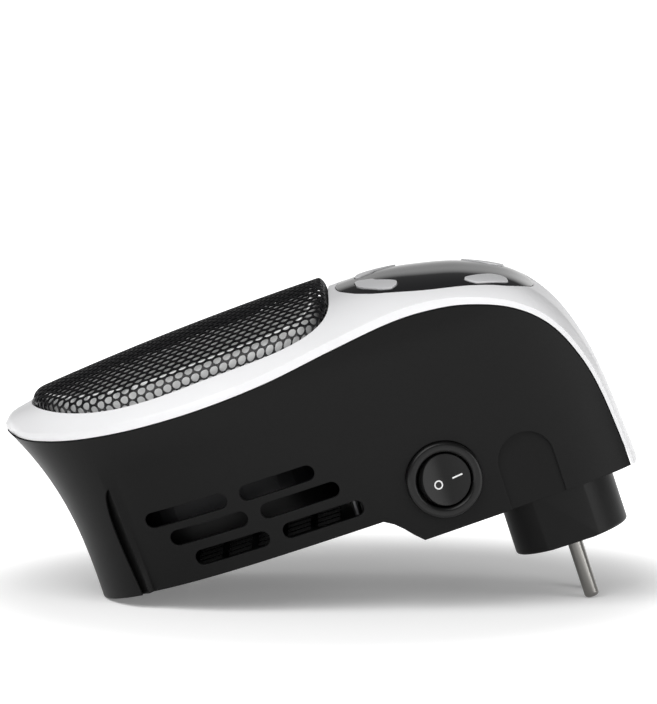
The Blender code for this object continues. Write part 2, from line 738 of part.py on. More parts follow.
def make_rear_housing():
    housing = envelope("rear_housing", 0.0)
    PARTS.objects.link(housing)
    CUTTERS.objects.unlink(housing)
    housing.hide_render = False
    housing.display_type = "TEXTURED"
    combine(housing, under_seam("under_seam", CLEARANCE), "INTERSECT")
    hollow = envelope("hollow", HOUSING_WALL)
    side = RING_WIDTH / 2
    low, high = -OVERRUN, CROWN_LEVEL + OVERRUN
    reach = HEAD_X + OVERRUN
    floor = [(VENT_END_X - HOUSING_WALL, low), *step_line(HOUSING_WALL)]
    outline = [(-TAIL_OVERHANG - OVERRUN, low), *floor, (reach, HOUSING_WALL - PLUG_STEP)]
    outline += [(reach, high), (-TAIL_OVERHANG - OVERRUN, high)]
    combine(hollow, prism_object("hollow_profile", outline, -side, side), "INTERSECT")
    cut(housing, hollow)
    for x, y in REAR_BOSSES:
        for sign in (-1, 1):
            base = BACK_COVER_WALL + CLEARANCE
            boss = rod_object("boss", BOSS_R, base, SHROUD_BASE - CLEARANCE, (x, sign * y), BOSS_SIDES)
            join(housing, boss, boss_rib(x, sign * y))
    for x, y in BOARD_POSTS:
        for sign in (-1, 1):
            foot = -PLUG_STEP + HOUSING_WALL / 2
            post = rod_object(
                "post", BOARD_POST_R, foot, POWER_BOARD_Z - CLEARANCE, (x, sign * y), BOSS_SIDES
            )
            join(housing, post)
    cut(housing, *slot_cutters())
    cut(housing, grip_cutter(-1), grip_cutter(1))
    cut_screw_holes(housing)
    hole = rod_object(
        "plug_hole", PLUG_R + CLEARANCE, -PLUG_STEP - OVERRUN, OVERRUN - PLUG_STEP, (PLUG_X, 0.0), PLUG_SIDES
    )
    cut(housing, hole)
    switch_hole = turned_object(
        "switch_hole",
        (
            (0.0, -OVERRUN), (SWITCH_BODY_R + CLEARANCE, -OVERRUN), (SWITCH_BODY_R + CLEARANCE, 0.0),
            (SWITCH_BEZEL_R + CLEARANCE, 0.0), (SWITCH_BEZEL_R + CLEARANCE, OVERRUN), (0.0, OVERRUN),
        ),
        SWITCH_SIDES,
        CUTTERS,
    )
    switch_hole.data.transform(switch_frame())
    cut(housing, switch_hole)
    return finish(housing, "shell_black")


def boss_rib(x, y):
    """A rib that ties a rear boss to the side wall, or to the plug section's floor."""
    base = BACK_COVER_WALL + CLEARANCE
    if x == TAIL_BOSS[0]:
        size = (RIB_WALL, TAIL_RIB_LENGTH, RIB_TOP - base)
        return box_object("rib", size, (x, y + math.copysign(TAIL_RIB_LENGTH / 2, y), (RIB_TOP + base) / 2))
    foot = VENT_END_X - HOUSING_WALL + CLEARANCE
    outline = (
        (x, base), (foot, base), (foot, RIB_FOOT), (HEAD_RIB_END_X, RIB_FOOT), (HEAD_RIB_END_X, RIB_TOP), (x, RIB_TOP),
    )
    return prism_object("rib", outline, y - RIB_WALL / 2, y + RIB_WALL / 2)


def cut_screw_holes(housing):
    """Pilot holes up the rear bosses, and clearance holes under the cover's posts."""
    bore = SCREW_SHANK_R + CLEARANCE
    for x, y in REAR_BOSSES:
        for sign in (-1, 1):
            top = SCREW_LENGTH + OVERRUN / 2
            cut(housing, rod_object("pilot", bore, -OVERRUN, top, (x, sign * y), SCREW_SIDES))
    for sign in (-1, 1):
        x, y = COVER_POST
        low = -PLUG_STEP - OVERRUN
        cut(housing, rod_object("through", bore, low, 0.0, (x, sign * y), SCREW_SIDES))
        sink = -PLUG_STEP + COUNTERBORE_DEPTH
        cut(housing, rod_object("sink", SCREW_HEAD_R + CLEARANCE, low, sink, (x, sign * y), SCREW_SIDES))


def make_back_cover():
    """The intake plate that closes the vent section's back, set inside the housing's wall."""
    inset = HOUSING_WALL + CLEARANCE
    end = VENT_END_X - HOUSING_WALL - CLEARANCE
    outline = [(x, y) for x, y in body_outline(0.0, inset) if x < end]
    edge = min(half_width(end, 0.0) - inset, max(y for _, y in outline))
    half = len([point for point in outline if point[1] >= 0])
    outline = outline[:half] + [(end, edge), (end, -edge)] + outline[half:]
    plate = prism_object("back_cover", outline, 0.0, BACK_COVER_WALL, axis="Z", collection=PARTS)
    for column in range(GRID_COLUMNS):
        for row in range(GRID_ROWS):
            x = GRID_CENTRE_X + (column - (GRID_COLUMNS - 1) / 2) * GRID_PITCH[0]
            y = (row - (GRID_ROWS - 1) / 2) * GRID_PITCH[1]
            cut(plate, box_object("grid", (*GRID_OPENING, OVERRUN + BACK_COVER_WALL), (x, y, BACK_COVER_WALL / 2)))
    bore = SCREW_SHANK_R + CLEARANCE
    for x, y in REAR_BOSSES:
        for sign in (-1, 1):
            place = (x, sign * y)
            cut(plate, rod_object("bore", bore, -OVERRUN, OVERRUN, place, SCREW_SIDES))
            head = SCREW_HEAD_R + CLEARANCE
            cut(plate, rod_object("sink", head, -OVERRUN, COUNTERBORE_DEPTH, place, SCREW_SIDES))
    return finish(plate, "shell_black")


def make_screws():
    """Four screws through the back cover and two through the plug section's floor."""
    places = [(x, sign * y, 0.0) for x, y in REAR_BOSSES for sign in (-1, 1)]
    places += [(COVER_POST[0], sign * COVER_POST[1], -PLUG_STEP) for sign in (-1, 1)]
    names = ["back_screw_1", "back_screw_2", "back_screw_3", "back_screw_4", "head_screw_1", "head_screw_2"]
    face = COUNTERBORE_DEPTH - CLEARANCE - SCREW_HEAD_HEIGHT
    top = face + SCREW_HEAD_HEIGHT
    for name, (x, y, level) in zip(names, places):
        profile = (
            (0.0, face), (SCREW_HEAD_R, face), (SCREW_HEAD_R, top), (SCREW_SHANK_R, top),
            (SCREW_SHANK_R, SCREW_LENGTH), (0.0, SCREW_LENGTH),
        )
        screw = turned_object(name, profile, SCREW_SIDES)
        screw.data.transform(Matrix.Translation((x, y, level)))
        finish(screw, "steel")


# Front cover


def edge_loop():
    """The cover's edge as (run, across, end) places, from the tail's middle round the +Y side and back."""
    tail_width, head_width = at_run("width", 0.0), at_run("width", CROWN_RUN)
    half = [(0.0, tail_width * step / 2, "tail") for step in range(2)]
    for step in range(COVER_SIDE_STEPS + 1):
        run = CROWN_RUN * (1 - math.cos(math.pi * step / COVER_SIDE_STEPS)) / 2
        half.append((run, at_run("width", run), "side"))
    half += [(CROWN_RUN, head_width * (1 - step / 3), "head") for step in range(1, 4)]
    return half + [(run, -across, end) for run, across, end in reversed(half[1:-1])]


def skirt_point(place, corner):
    """The point under a corner of the cover's edge, past the seam: the skirt is trimmed to the seam afterwards."""
    run, _, end = place
    seam, rim = at_run("seam", run), at_run("rim", run)
    if end != "side" or seam[0] < WIDEST_X:
        return (corner[0], corner[1], min(corner[2], seam[1]) - SKIRT)
    outward = (rim - seam) / np.linalg.norm(rim - seam)
    x, level = seam - outward * SKIRT
    return (x, corner[1], level)


def grille_reach(angle, inset=0.0):
    """The distance from the grille's centre to its outline in a direction of the plan."""
    ahead = math.cos(angle) > 0
    length = (GRILLE_HEAD_LENGTH if ahead else GRILLE_TAIL_LENGTH) - inset
    width = GRILLE_HALF_WIDTH - inset
    power = GRILLE_HEAD_ROUNDNESS if ahead else GRILLE_TAIL_ROUNDNESS
    return (abs(math.cos(angle) / length) ** power + abs(math.sin(angle) / width) ** power) ** (-1 / power)


def grille_place(angle, inset=0.0):
    """A place (run, across) on the grille's outline."""
    reach = grille_reach(angle, inset)
    return run_at(GRILLE_CENTRE_X + reach * math.cos(angle)), reach * math.sin(angle)


def cover_loops(edge, wall):
    """Loops of the cover's outer face (wall 0) or inner face, from the skirt's edge in to the grille's opening."""
    centre = run_at(GRILLE_CENTRE_X)
    inner = [
        (wall + run * (1 - 2 * wall / CROWN_RUN), across * (1 - wall / at_run("width", run))) for run, across, _ in edge
    ]
    loops = []
    for share in (0.0, *COVER_RING_SHARES):
        loop = []
        for run, across in inner:
            angle = math.atan2(across, run - centre)
            end_run, end_across = grille_place(angle, -GRILLE_GAP)
            place = (run + (end_run - run) * share, across + (end_across - across) * share)
            loop.append(tuple(crown_point(*place, -wall)))
        loops.append(loop)
    return [[skirt_point(place, corner) for place, corner in zip(edge, loops[0])], *loops]


def make_front_cover():
    """The white moulding: a band that runs from its skirt over the crown to the grille's opening and back inside."""
    edge = edge_loop()
    loops = cover_loops(edge, 0.0) + list(reversed(cover_loops(edge, COVER_WALL)))
    cover = add_object("front_cover", loop_mesh(loops + loops[:1], closed_ends=False))
    weld(cover)
    cut(cover, under_seam("under_cover", 0.0, OVERRUN))
    base = (2 * RING_WIDTH, 2 * RING_WIDTH, RING_WIDTH)
    cut(cover, box_object("under_base", base, (HEAD_X, 0.0, -PLUG_STEP - RING_WIDTH / 2)))
    cut(cover, crown_patch("panel_cut", panel_outline(CLEARANCE), PANEL_WALL, PANEL_CUT_DEPTH, CUTTERS))
    x, y = COVER_POST
    for sign in (-1, 1):
        top = crown_at(x + COVER_POST_R / 2, y + COVER_POST_R / 2).z - COVER_WALL / 2
        post = rod_object(
            "cover_post", COVER_POST_R, HOUSING_WALL - PLUG_STEP + CLEARANCE, top, (x, sign * y), BOSS_SIDES
        )
        join(cover, post)
        pilot = rod_object(
            "pilot", SCREW_SHANK_R + CLEARANCE, -PLUG_STEP, SCREW_LENGTH - PLUG_STEP + OVERRUN / 2,
            (x, sign * y), SCREW_SIDES,
        )
        cut(cover, pilot)
    return finish(cover, "cover_white")


def weld(obj):
    """Merges points that coincide, and makes the faces point outwards."""
    shape = bmesh.new()
    shape.from_mesh(obj.data)
    bmesh.ops.remove_doubles(shape, verts=shape.verts, dist=MERGE)
    bmesh.ops.recalc_face_normals(shape, faces=shape.faces)
    shape.to_mesh(obj.data)
    shape.free()


def face_outwards(obj):
    """Turns an open sheet's faces so that they point away from the body's inside."""
    mesh = obj.data
    inside = Vector((BODY_LENGTH / 2, 0.0, 0.0))
    total = sum(face.normal.dot(face.center - inside) * face.area for face in mesh.polygons)
    if total < 0:
        mesh.flip_normals()


def round_outline(points, cuts):
    """A closed smooth outline through points, as that many times more points."""
    table = [np.array(point) for point in points]
    count = len(table)
    ring = [table[(index - 1) % count] for index in range(count + 4)]
    outline = []
    for index in range(count):
        for step in range(cuts):
            outline.append(tuple(spline(ring, index + 1 + step / cuts)))
    return outline


def grown(outline, amount):
    """Moves an outline's points outwards by an amount, along its own normals."""
    count = len(outline)
    area = sum(
        outline[index - 1][0] * outline[index][1] - outline[index][0] * outline[index - 1][1] for index in range(count)
    )
    turn = 1.0 if area > 0 else -1.0
    points = []
    for index, (x, y) in enumerate(outline):
        before, after = outline[index - 1], outline[(index + 1) % count]
        run, rise = after[0] - before[0], after[1] - before[1]
        size = math.hypot(run, rise)
        points.append((x + turn * amount * rise / size, y - turn * amount * run / size))
    return points


def panel_outline(growth=0.0):
    """The panel's leaf outline as (run, across) places."""
    half = [(PANEL_START_X + along * PANEL_LENGTH, across * PANEL_HALF_WIDTH) for along, across in PANEL_OUTLINE_SHARES]
    outline = half + [(x, -y) for x, y in reversed(half[1:-1])]
    outline = [(run_at(x), y) for x, y in outline]
    return grown(outline, growth) if growth else outline


def button_outline(shares, side, growth=0.0):
    outline = [
        (run_at(PANEL_START_X + along * PANEL_LENGTH), side * across * PANEL_HALF_WIDTH) for along, across in shares
    ]
    outline = round_outline(outline, 2)
    return grown(outline, growth) if growth else outline


def crown_patch(name, outline, above, below, collection=PARTS, rings=(1.0, 0.66, 0.33)):
    """A closed slab that follows the crown inside an outline, from above its surface to below it."""
    centre = np.mean(np.array(outline), axis=0)
    loops = []
    for level, shares in ((above, reversed(rings)), (-below, rings)):
        for share in shares:
            places = [centre + (np.array(place) - centre) * share for place in outline]
            loops.append([tuple(crown_point(run, across, level)) for run, across in places])
    return add_object(name, loop_mesh(loops), collection)


def make_control_panel():
    panel = crown_patch("control_panel", panel_outline(), 0.0, PANEL_WALL, rings=PANEL_RING_SHARES)
    for _, shares, side in BUTTONS:
        hole = button_outline(shares, side, CLEARANCE)
        cut(panel, crown_patch("button_hole", hole, PANEL_WALL, PANEL_CUT_DEPTH, CUTTERS))
    for place in board_boss_places():
        foot = board_frame() @ Vector((*place, CLEARANCE))
        top = crown_at(foot.x, foot.y).z - PANEL_WALL / 2
        low = foot.z + BOARD_BOSS_R / 3
        join(panel, rod_object("board_boss", BOARD_BOSS_R, low, top, (foot.x, foot.y), BOSS_SIDES))
    return finish(panel, "panel_gloss")


BUTTONS = (
    ("timer_button", TAIL_BUTTON_SHARES, -1),
    ("speed_button", TAIL_BUTTON_SHARES, 1),
    ("warmer_button", HEAD_BUTTON_SHARES, -1),
    ("cooler_button", HEAD_BUTTON_SHARES, 1),
)


def button_centre(shares, side):
    """The middle of a button on the crown, and the direction that it points out in."""
    run, across = np.mean(np.array(button_outline(shares, side)), axis=0)
    return crown_point(run, across), crown_normal(run, across)


def make_buttons():
    """Caps that stand a little proud of the panel, each with a flange under it and a stem down to its switch."""
    for name, shares, side in BUTTONS:
        centre, outward = button_centre(shares, side)
        button = crown_patch(name, button_outline(shares, side), BUTTON_PROUD, BUTTON_FLANGE_TOP + BUTTON_FLANGE_WALL / 2)
        bottom = BUTTON_FLANGE_TOP + BUTTON_FLANGE_WALL
        flange_outline = button_outline(shares, side, BUTTON_FLANGE)
        join(button, crown_patch("flange", flange_outline, -BUTTON_FLANGE_TOP, bottom, CUTTERS))
        board = board_frame()
        foot = board @ Vector((*tact_place(shares, side), TACT_SIZE[2] + 2 * (CLEARANCE + BUTTON_TRAVEL)))
        top = centre - outward * (BUTTON_FLANGE_TOP + BUTTON_FLANGE_WALL / 2)
        span = top - foot
        shape = bmesh.new()
        bmesh.ops.create_cone(
            shape, cap_ends=True, segments=BOSS_SIDES, radius1=BUTTON_STEM_R, radius2=BUTTON_STEM_R, depth=span.length
        )
        turn = span.to_track_quat("Z", "Y").to_matrix().to_4x4()
        bmesh.ops.transform(shape, matrix=Matrix.Translation((top + foot) / 2) @ turn, verts=shape.verts)
        join(button, add_object("stem", shape, CUTTERS))
        set_origin(button, centre)
        finish(button, "button_silver")


def set_origin(obj, point):
    """Moves an object's origin to a point of the body frame without moving its shape."""
    obj.data.transform(Matrix.Translation(-Vector(point)))
    obj.location = Vector(point)


# Control board


def board_frame():
    """The control board's top face: its centre, and its pitch along the crown."""
    crown = crown_at(CONTROL_BOARD_X, 0.0)
    pitch = math.radians(CONTROL_BOARD_PITCH_DEG)
    centre = crown - Vector((math.sin(pitch), 0.0, math.cos(pitch))) * CONTROL_BOARD_DEPTH
    return Matrix.Translation(centre) @ Matrix.Rotation(pitch, 4, "Y")


def tact_place(shares, side):
    centre, _ = button_centre(shares, side)
    local = board_frame().inverted() @ centre
    return local.x, local.y


def board_boss_places():
    x, y = BOARD_BOSS_PLACE
    return [(along * x, side * y) for along in (-1, 1) for side in (-1, 1)]


def make_control_board():
    frame = board_frame()
    board = box_object("control_board", CONTROL_BOARD, (0.0, 0.0, -CONTROL_BOARD[2] / 2), PARTS)
    board.data.transform(frame)
    finish(board, "board_green")
    for index, (_, shares, side) in enumerate(BUTTONS, start=1):
        x, y = tact_place(shares, side)
        name = f"tact_switch_{index}"
        tact = box_object(name, TACT_SIZE, (x, y, TACT_SIZE[2] / 2 + CLEARANCE), PARTS)
        tact.data.transform(frame)
        finish(tact, "component_dark")
    display = box_object("display_module", DISPLAY_SIZE, (0.0, 0.0, DISPLAY_SIZE[2] / 2 + CLEARANCE), PARTS)
    display.data.transform(frame)
    finish(display, "component_dark")


# Grille and its collar


def shoulder_width(angle):
    """The shoulder's width in a direction of the plan: wide at the sides, and narrow at the head end."""
    end = max(math.cos(angle), 0.0) ** GRILLE_END_POWER
    return GRILLE_SHOULDER + (GRILLE_END_SHOULDER - GRILLE_SHOULDER) * end


def dome_level(x, y):
    """The dome's top over a place in the plan, before its shoulder: crowned along and across."""
    along = (x - GRILLE_CENTRE_X) / GRILLE_HEAD_LENGTH
    across = y / GRILLE_HALF_WIDTH
    return GRILLE_DOME_LEVEL + GRILLE_DOME_RISE * along - GRILLE_END_SAG * along**2 - GRILLE_SIDE_SAG * across**2


def grille_loops():
    """Loops of points from the flange under the cover, up the shoulder and in to the dome's middle."""
    angles = [math.tau * (step + 0.5) / GRILLE_STEPS for step in range(GRILLE_STEPS)]
    under = COVER_WALL + GRILLE_GAP
    loops = []
    for inset, drop in ((-GRILLE_FLANGE, under), (0.0, under), (0.0, 0.0)):
        places = [grille_place(angle, inset) for angle in angles]
        if drop:
            loops.append([tuple(crown_point(*place, -drop)) for place in places])
        else:
            loops.append([tuple(crown_surface(*place)) for place in places])
    base = loops[-1]
    for share in GRILLE_SHOULDER_SHARES:
        rise = math.sqrt(1 - (1 - share) ** 2)
        loop = []
        for angle, (_, _, level) in zip(angles, base):
            reach = grille_reach(angle, shoulder_width(angle) * share)
            x, y = GRILLE_CENTRE_X + reach * math.cos(angle), reach * math.sin(angle)
            loop.append((x, y, level + (dome_level(x, y) - level) * rise))
        loops.append(loop)
    for share in GRILLE_RING_SHARES:
        loop = []
        for angle in angles:
            reach = grille_reach(angle, shoulder_width(angle)) * share
            x, y = GRILLE_CENTRE_X + reach * math.cos(angle), reach * math.sin(angle)
            loop.append((x, y, dome_level(x, y)))
        loops.append(loop)
    return loops


def make_outlet_grille():
    """The domed sheet: its quads from the shoulder in are perforated, and its middle is one plain disc."""
    loops = grille_loops()
    shape = loop_mesh(loops, closed_ends=False)
    shape.verts.ensure_lookup_table()
    inner = list(shape.verts)[-GRILLE_STEPS:]
    middle = shape.verts.new((GRILLE_CENTRE_X, 0.0, dome_level(GRILLE_CENTRE_X, 0.0)))
    for index in range(GRILLE_STEPS):
        shape.faces.new((inner[index], inner[(index + 1) % GRILLE_STEPS], middle))
    shape.faces.ensure_lookup_table()
    bmesh.ops.recalc_face_normals(shape, faces=shape.faces)
    holes = list(shape.faces)[2 * GRILLE_STEPS : (len(loops) - 1) * GRILLE_STEPS]
    for face in holes:
        thickness = GRILLE_BAR_SHARE * math.sqrt(face.calc_area())
        bmesh.ops.inset_individual(shape, faces=[face], thickness=thickness, use_even_offset=True)
    bmesh.ops.delete(shape, geom=holes, context="FACES")
    grille = add_object("outlet_grille", shape)
    face_outwards(grille)
    thicken(grille, GRILLE_SHEET)
    return finish(grille, "grille_black")


def make_grille_collar():
    """The bright sheet-metal collar that guides the warm air, from the fan's plate up to the grille's edge."""
    angles = [math.tau * (step + 0.5) / GRILLE_STEPS for step in range(GRILLE_STEPS)]
    foot = SHROUD_BASE + SHROUD_PLATE + CLEARANCE
    lower, upper = [], []
    for angle in angles:
        reach = grille_reach(angle, COLLAR_INSET)
        x, y = GRILLE_CENTRE_X + reach * math.cos(angle), reach * math.sin(angle)
        lower.append((x, y, foot))
        upper.append((x, y, dome_level(x, y) - COLLAR_DROP))
    collar = add_object("grille_collar", loop_mesh([lower, upper], closed_ends=False))
    face_outwards(collar)
    thicken(collar, COLLAR_WALL)
    port = (COLLAR_PORT[0], COLLAR_PORT[1], 2 * COLLAR_PORT[2])
    cut(collar, box_object("lead_port", port, (GRILLE_CENTRE_X + GRILLE_HEAD_LENGTH - COLLAR_INSET, 0.0, foot)))
    return finish(collar, "collar_metal")


# Fan


def make_fan_shroud():
    """The plate across the body with the fan's tube, its spider and the motor's cup under it."""
    inset = HOUSING_WALL + CLEARANCE
    top = SHROUD_BASE + SHROUD_PLATE
    outline = [(x, y) for x, y in body_outline(SHROUD_BASE, inset) if x < SHROUD_END_X]
    half = len([point for point in outline if point[1] >= 0])
    edge = half_width(SHROUD_END_X, SHROUD_BASE) - inset
    outline = outline[:half] + [(SHROUD_END_X, edge), (SHROUD_END_X, -edge)] + outline[half:]
    shroud = prism_object("fan_shroud", outline, SHROUD_BASE, top, axis="Z", collection=PARTS)
    place = (FAN_X, 0.0)
    tube = rod_object("tube", TUBE_R + TUBE_WALL, TUBE_BOTTOM, SHROUD_BASE + SHROUD_PLATE / 2, place, FAN_SIDES)
    join(shroud, tube)
    cut(shroud, rod_object("bore", TUBE_R, TUBE_BOTTOM - OVERRUN, top + OVERRUN, place, FAN_SIDES))
    length = TUBE_R + TUBE_WALL / 2
    level = TUBE_BOTTOM + SPIDER_HEIGHT / 2
    for index in range(SPIDER_ARMS):
        turn = Matrix.Rotation(math.tau * (index + 0.5) / SPIDER_ARMS, 4, "Z")
        arm = box_object("arm", (length, SPIDER_ARM_WIDTH, SPIDER_HEIGHT), (length / 2, 0.0, 0.0))
        arm.data.transform(Matrix.Translation((FAN_X, 0.0, level)) @ turn)
        join(shroud, arm)
    cup = rod_object("cup", CUP_R, TUBE_BOTTOM, TUBE_BOTTOM + SPIDER_HEIGHT, place, FAN_SIDES // 2)
    join(shroud, cup)
    seat = MOTOR_R + CLEARANCE
    cut(shroud, rod_object("seat", seat, TUBE_BOTTOM - OVERRUN, TUBE_BOTTOM + OVERRUN, place, FAN_SIDES // 2))
    return finish(shroud, "component_dark")


def motor_top():
    return MOTOR_LIFT + MOTOR_HEIGHT


def make_motor_and_shaft():
    bore = SHAFT_R + CLEARANCE
    top = motor_top()
    floor = top - SHAFT_BURIED
    profile = (
        (0.0, MOTOR_LIFT), (MOTOR_R, MOTOR_LIFT), (MOTOR_R, top), (bore, top), (bore, floor), (0.0, floor),
    )
    motor = turned_object("fan_motor", profile, FAN_SIDES // 2)
    motor.data.transform(Matrix.Translation((FAN_X, 0.0, 0.0)))
    finish(motor, "steel")
    tip = hub_base() + HUB_HEIGHT - HUB_WALL - CLEARANCE
    base = floor + CLEARANCE
    shaft = turned_object(
        "motor_shaft", ((0.0, base), (SHAFT_R, base), (SHAFT_R, tip), (0.0, tip)), SCREW_SIDES
    )
    set_origin(shaft, (0.0, 0.0, hub_base()))
    shaft.location = (FAN_X, 0.0, hub_base())
    finish(shaft, "steel")


def hub_base():
    return TUBE_BOTTOM + SPIDER_HEIGHT + 4 * CLEARANCE + SPIDER_HEIGHT


def make_impeller():
    """A hub with a bore for the shaft, and pitched blades fused to it."""
    base = hub_base()
    top = base + HUB_HEIGHT
    bore = SHAFT_R + CLEARANCE
    ceiling = top - HUB_WALL
    profile = ((bore, base), (HUB_R, base), (HUB_R, top), (0.0, top), (0.0, ceiling), (bore, ceiling))
    impeller = turned_object("impeller", profile, FAN_SIDES // 2)
    tip = TUBE_R - BLADE_TIP_CLEARANCE
    root = HUB_R - HUB_WALL
    for index in range(BLADES):
        blade = box_object("blade", (tip - root, BLADE_CHORD, BLADE_THICKNESS), (0.0, 0.0, 0.0))
        pitch = Matrix.Rotation(math.radians(BLADE_PITCH_DEG), 4, "X")
        turn = Matrix.Rotation(math.tau * index / BLADES, 4, "Z")
        blade.data.transform(
            turn @ Matrix.Translation(((tip + root) / 2, 0.0, base + HUB_HEIGHT / 2)) @ pitch
        )
        join(impeller, blade)
    rim = tube_cutter(tip, top + 2 * OVERRUN)
    cut(impeller, rim)
    impeller.data.transform(Matrix.Translation((0.0, 0.0, -base)))
    impeller.location = (FAN_X, 0.0, base)
    return finish(impeller, "component_dark")


def tube_cutter(inner, height):
    """A thick ring that trims what reaches past an inner radius."""
    outer = inner + 2 * OVERRUN
    profile = ((inner, 0.0), (outer, 0.0), (outer, height), (inner, height))
    return turned_object("trim", profile, FAN_SIDES, CUTTERS)


# Heater


def make_heater():
    """The frame that stands on the fan's plate, and the finned element in it."""
    length, width, height = HEATER_OUTER
    foot = SHROUD_BASE + SHROUD_PLATE + CLEARANCE
    frame = box_object("heater_frame", HEATER_OUTER, (FAN_X, 0.0, foot + height / 2), PARTS)
    window = (*HEATER_WINDOW, height + OVERRUN)
    cut(frame, box_object("window", window, (FAN_X, 0.0, foot + height / 2)))
    ledge_size = (HEATER_WINDOW[0] + 2 * HEATER_LEDGE, HEATER_WINDOW[1] + 2 * HEATER_LEDGE, height)
    cut(frame, box_object("ledge", ledge_size, (FAN_X, 0.0, foot + height / 2 + HEATER_LEDGE)))
    finish(frame, "frame_beige")
    element_length = ledge_size[0] - 2 * CLEARANCE
    element_width = ledge_size[1] - 2 * CLEARANCE
    base = foot + HEATER_LEDGE + CLEARANCE
    size = (element_length, element_width, ELEMENT_HEIGHT)
    element = box_object("heating_element", size, (FAN_X, 0.0, base + ELEMENT_HEIGHT / 2), PARTS)
    pitch = (element_length - 2 * ELEMENT_BAR) / FIN_COUNT
    for row in (-1, 1):
        for index in range(FIN_COUNT):
            x = FAN_X + (index - (FIN_COUNT - 1) / 2) * pitch
            gap = (pitch * FIN_GAP_SHARE, element_width / 2 - 1.5 * ELEMENT_BAR, ELEMENT_HEIGHT + OVERRUN)
            cut(element, box_object("fin_gap", gap, (x, row * element_width / 4, base + ELEMENT_HEIGHT / 2)))
    finish(element, "element_aluminium")


def make_sensors():
    """The thermal cut-out and the thermal fuse, on the fan's plate beside the heater."""
    foot = SHROUD_BASE + SHROUD_PLATE + CLEARANCE
    cutout = rod_object(
        "thermal_cutout", CUTOUT_R, foot, foot + CUTOUT_HEIGHT, (SENSOR_X, SENSOR_Y), FAN_SIDES // 2, PARTS
    )
    finish(cutout, "steel")
    fuse = rod_object("thermal_fuse", FUSE_R, -FUSE_LENGTH / 2, FUSE_LENGTH / 2, (0.0, 0.0), SCREW_SIDES, PARTS)
    turn = Matrix.Rotation(math.pi / 2, 4, "X")
    fuse.data.transform(Matrix.Translation((SENSOR_X, -SENSOR_Y, foot + FUSE_R)) @ turn)
    finish(fuse, "element_aluminium")


# Switch


def switch_frame():
    """The switch's place in the near wall: its Z axis points out of the wall and its Y axis along +Z."""
    step = SWITCH_BODY_R
    width = half_width(SWITCH_X, SWITCH_Z)
    slope = (half_width(SWITCH_X + step, SWITCH_Z) - half_width(SWITCH_X - step, SWITCH_Z)) / (2 * step)
    outward = Vector((-slope, -1.0, 0.0)).normalized()
    up = Vector((0.0, 0.0, 1.0))
    side = up.cross(outward)
    rows = Matrix((side, up, outward)).transposed().to_4x4()
    return Matrix.Translation((SWITCH_X, -width, SWITCH_Z)) @ rows


def make_switch_housing():
    """The bezel on the wall, with the body behind it, its hollow for the rocker and its three blades."""
    low, face = CLEARANCE, CLEARANCE + SWITCH_BEZEL_HEIGHT
    edge = SWITCH_BEZEL_HEIGHT / 2
    back = -SWITCH_BODY_DEPTH
    floor = -SWITCH_CAVITY_DEPTH
    profile = (
        (0.0, back), (SWITCH_BODY_R, back), (SWITCH_BODY_R, low), (SWITCH_BEZEL_R, low),
        (SWITCH_BEZEL_R, low + edge), (SWITCH_BEZEL_R - edge, face), (SWITCH_OPENING_R + edge, face),
        (SWITCH_OPENING_R, low + edge), (SWITCH_OPENING_R, floor), (0.0, floor),
    )
    body = turned_object("switch_housing", profile, SWITCH_SIDES)
    for sign in (-1, 0, 1):
        blade = box_object("blade", SWITCH_BLADE, (sign * SWITCH_BLADE_PITCH, 0.0, 0.0))
        turn = Matrix.Rotation(math.pi / 2, 4, "X")
        blade.data.transform(Matrix.Translation((0.0, 0.0, back - SWITCH_BLADE[1] / 3)) @ turn)
        join(body, blade)
    reach = ROCKER_R + TRUNNION_LENGTH + CLEARANCE
    hole = rod_object("pivot_hole", TRUNNION_R + CLEARANCE, -reach, reach, (0.0, 0.0), SCREW_SIDES)
    turn = Matrix.Rotation(math.pi / 2, 4, "X")
    hole.data.transform(Matrix.Translation((0.0, 0.0, ROCKER_PIVOT_DEPTH)) @ turn)
    cut(body, hole)
    body.data.transform(switch_frame())
    return finish(body, "shell_black")


def make_switch_rocker():
    """A ball-sided rocker with a hollowed face, on two trunnions. It rests pressed in at its head end."""
    shape = bmesh.new()
    bmesh.ops.create_uvsphere(shape, u_segments=SWITCH_SIDES, v_segments=SWITCH_SIDES // 2, radius=ROCKER_R)
    rocker = add_object("switch_rocker", shape)
    size = 4 * ROCKER_R
    cut(rocker, box_object("back", (size, size, size), (0.0, 0.0, -ROCKER_BACK - size / 2)))
    face = rod_object("face", ROCKER_FACE_CURVE_R, -size, size, (0.0, 0.0), 4 * SWITCH_SIDES)
    turn = Matrix.Rotation(math.pi / 2, 4, "X")
    face.data.transform(Matrix.Translation((0.0, 0.0, ROCKER_FACE + ROCKER_FACE_CURVE_R)) @ turn)
    cut(rocker, face)
    reach = ROCKER_R + TRUNNION_LENGTH
    trunnion = rod_object("trunnion", TRUNNION_R, -reach, reach, (0.0, 0.0), SCREW_SIDES)
    trunnion.data.transform(turn)
    join(rocker, trunnion)
    rest = Matrix.Rotation(math.radians(ROCKER_TILT_DEG), 4, "Y")
    pivot = Matrix.Translation((0.0, 0.0, ROCKER_PIVOT_DEPTH))
    rocker.matrix_local = switch_frame() @ pivot @ rest
    return finish(rocker, "panel_gloss")


# Plug


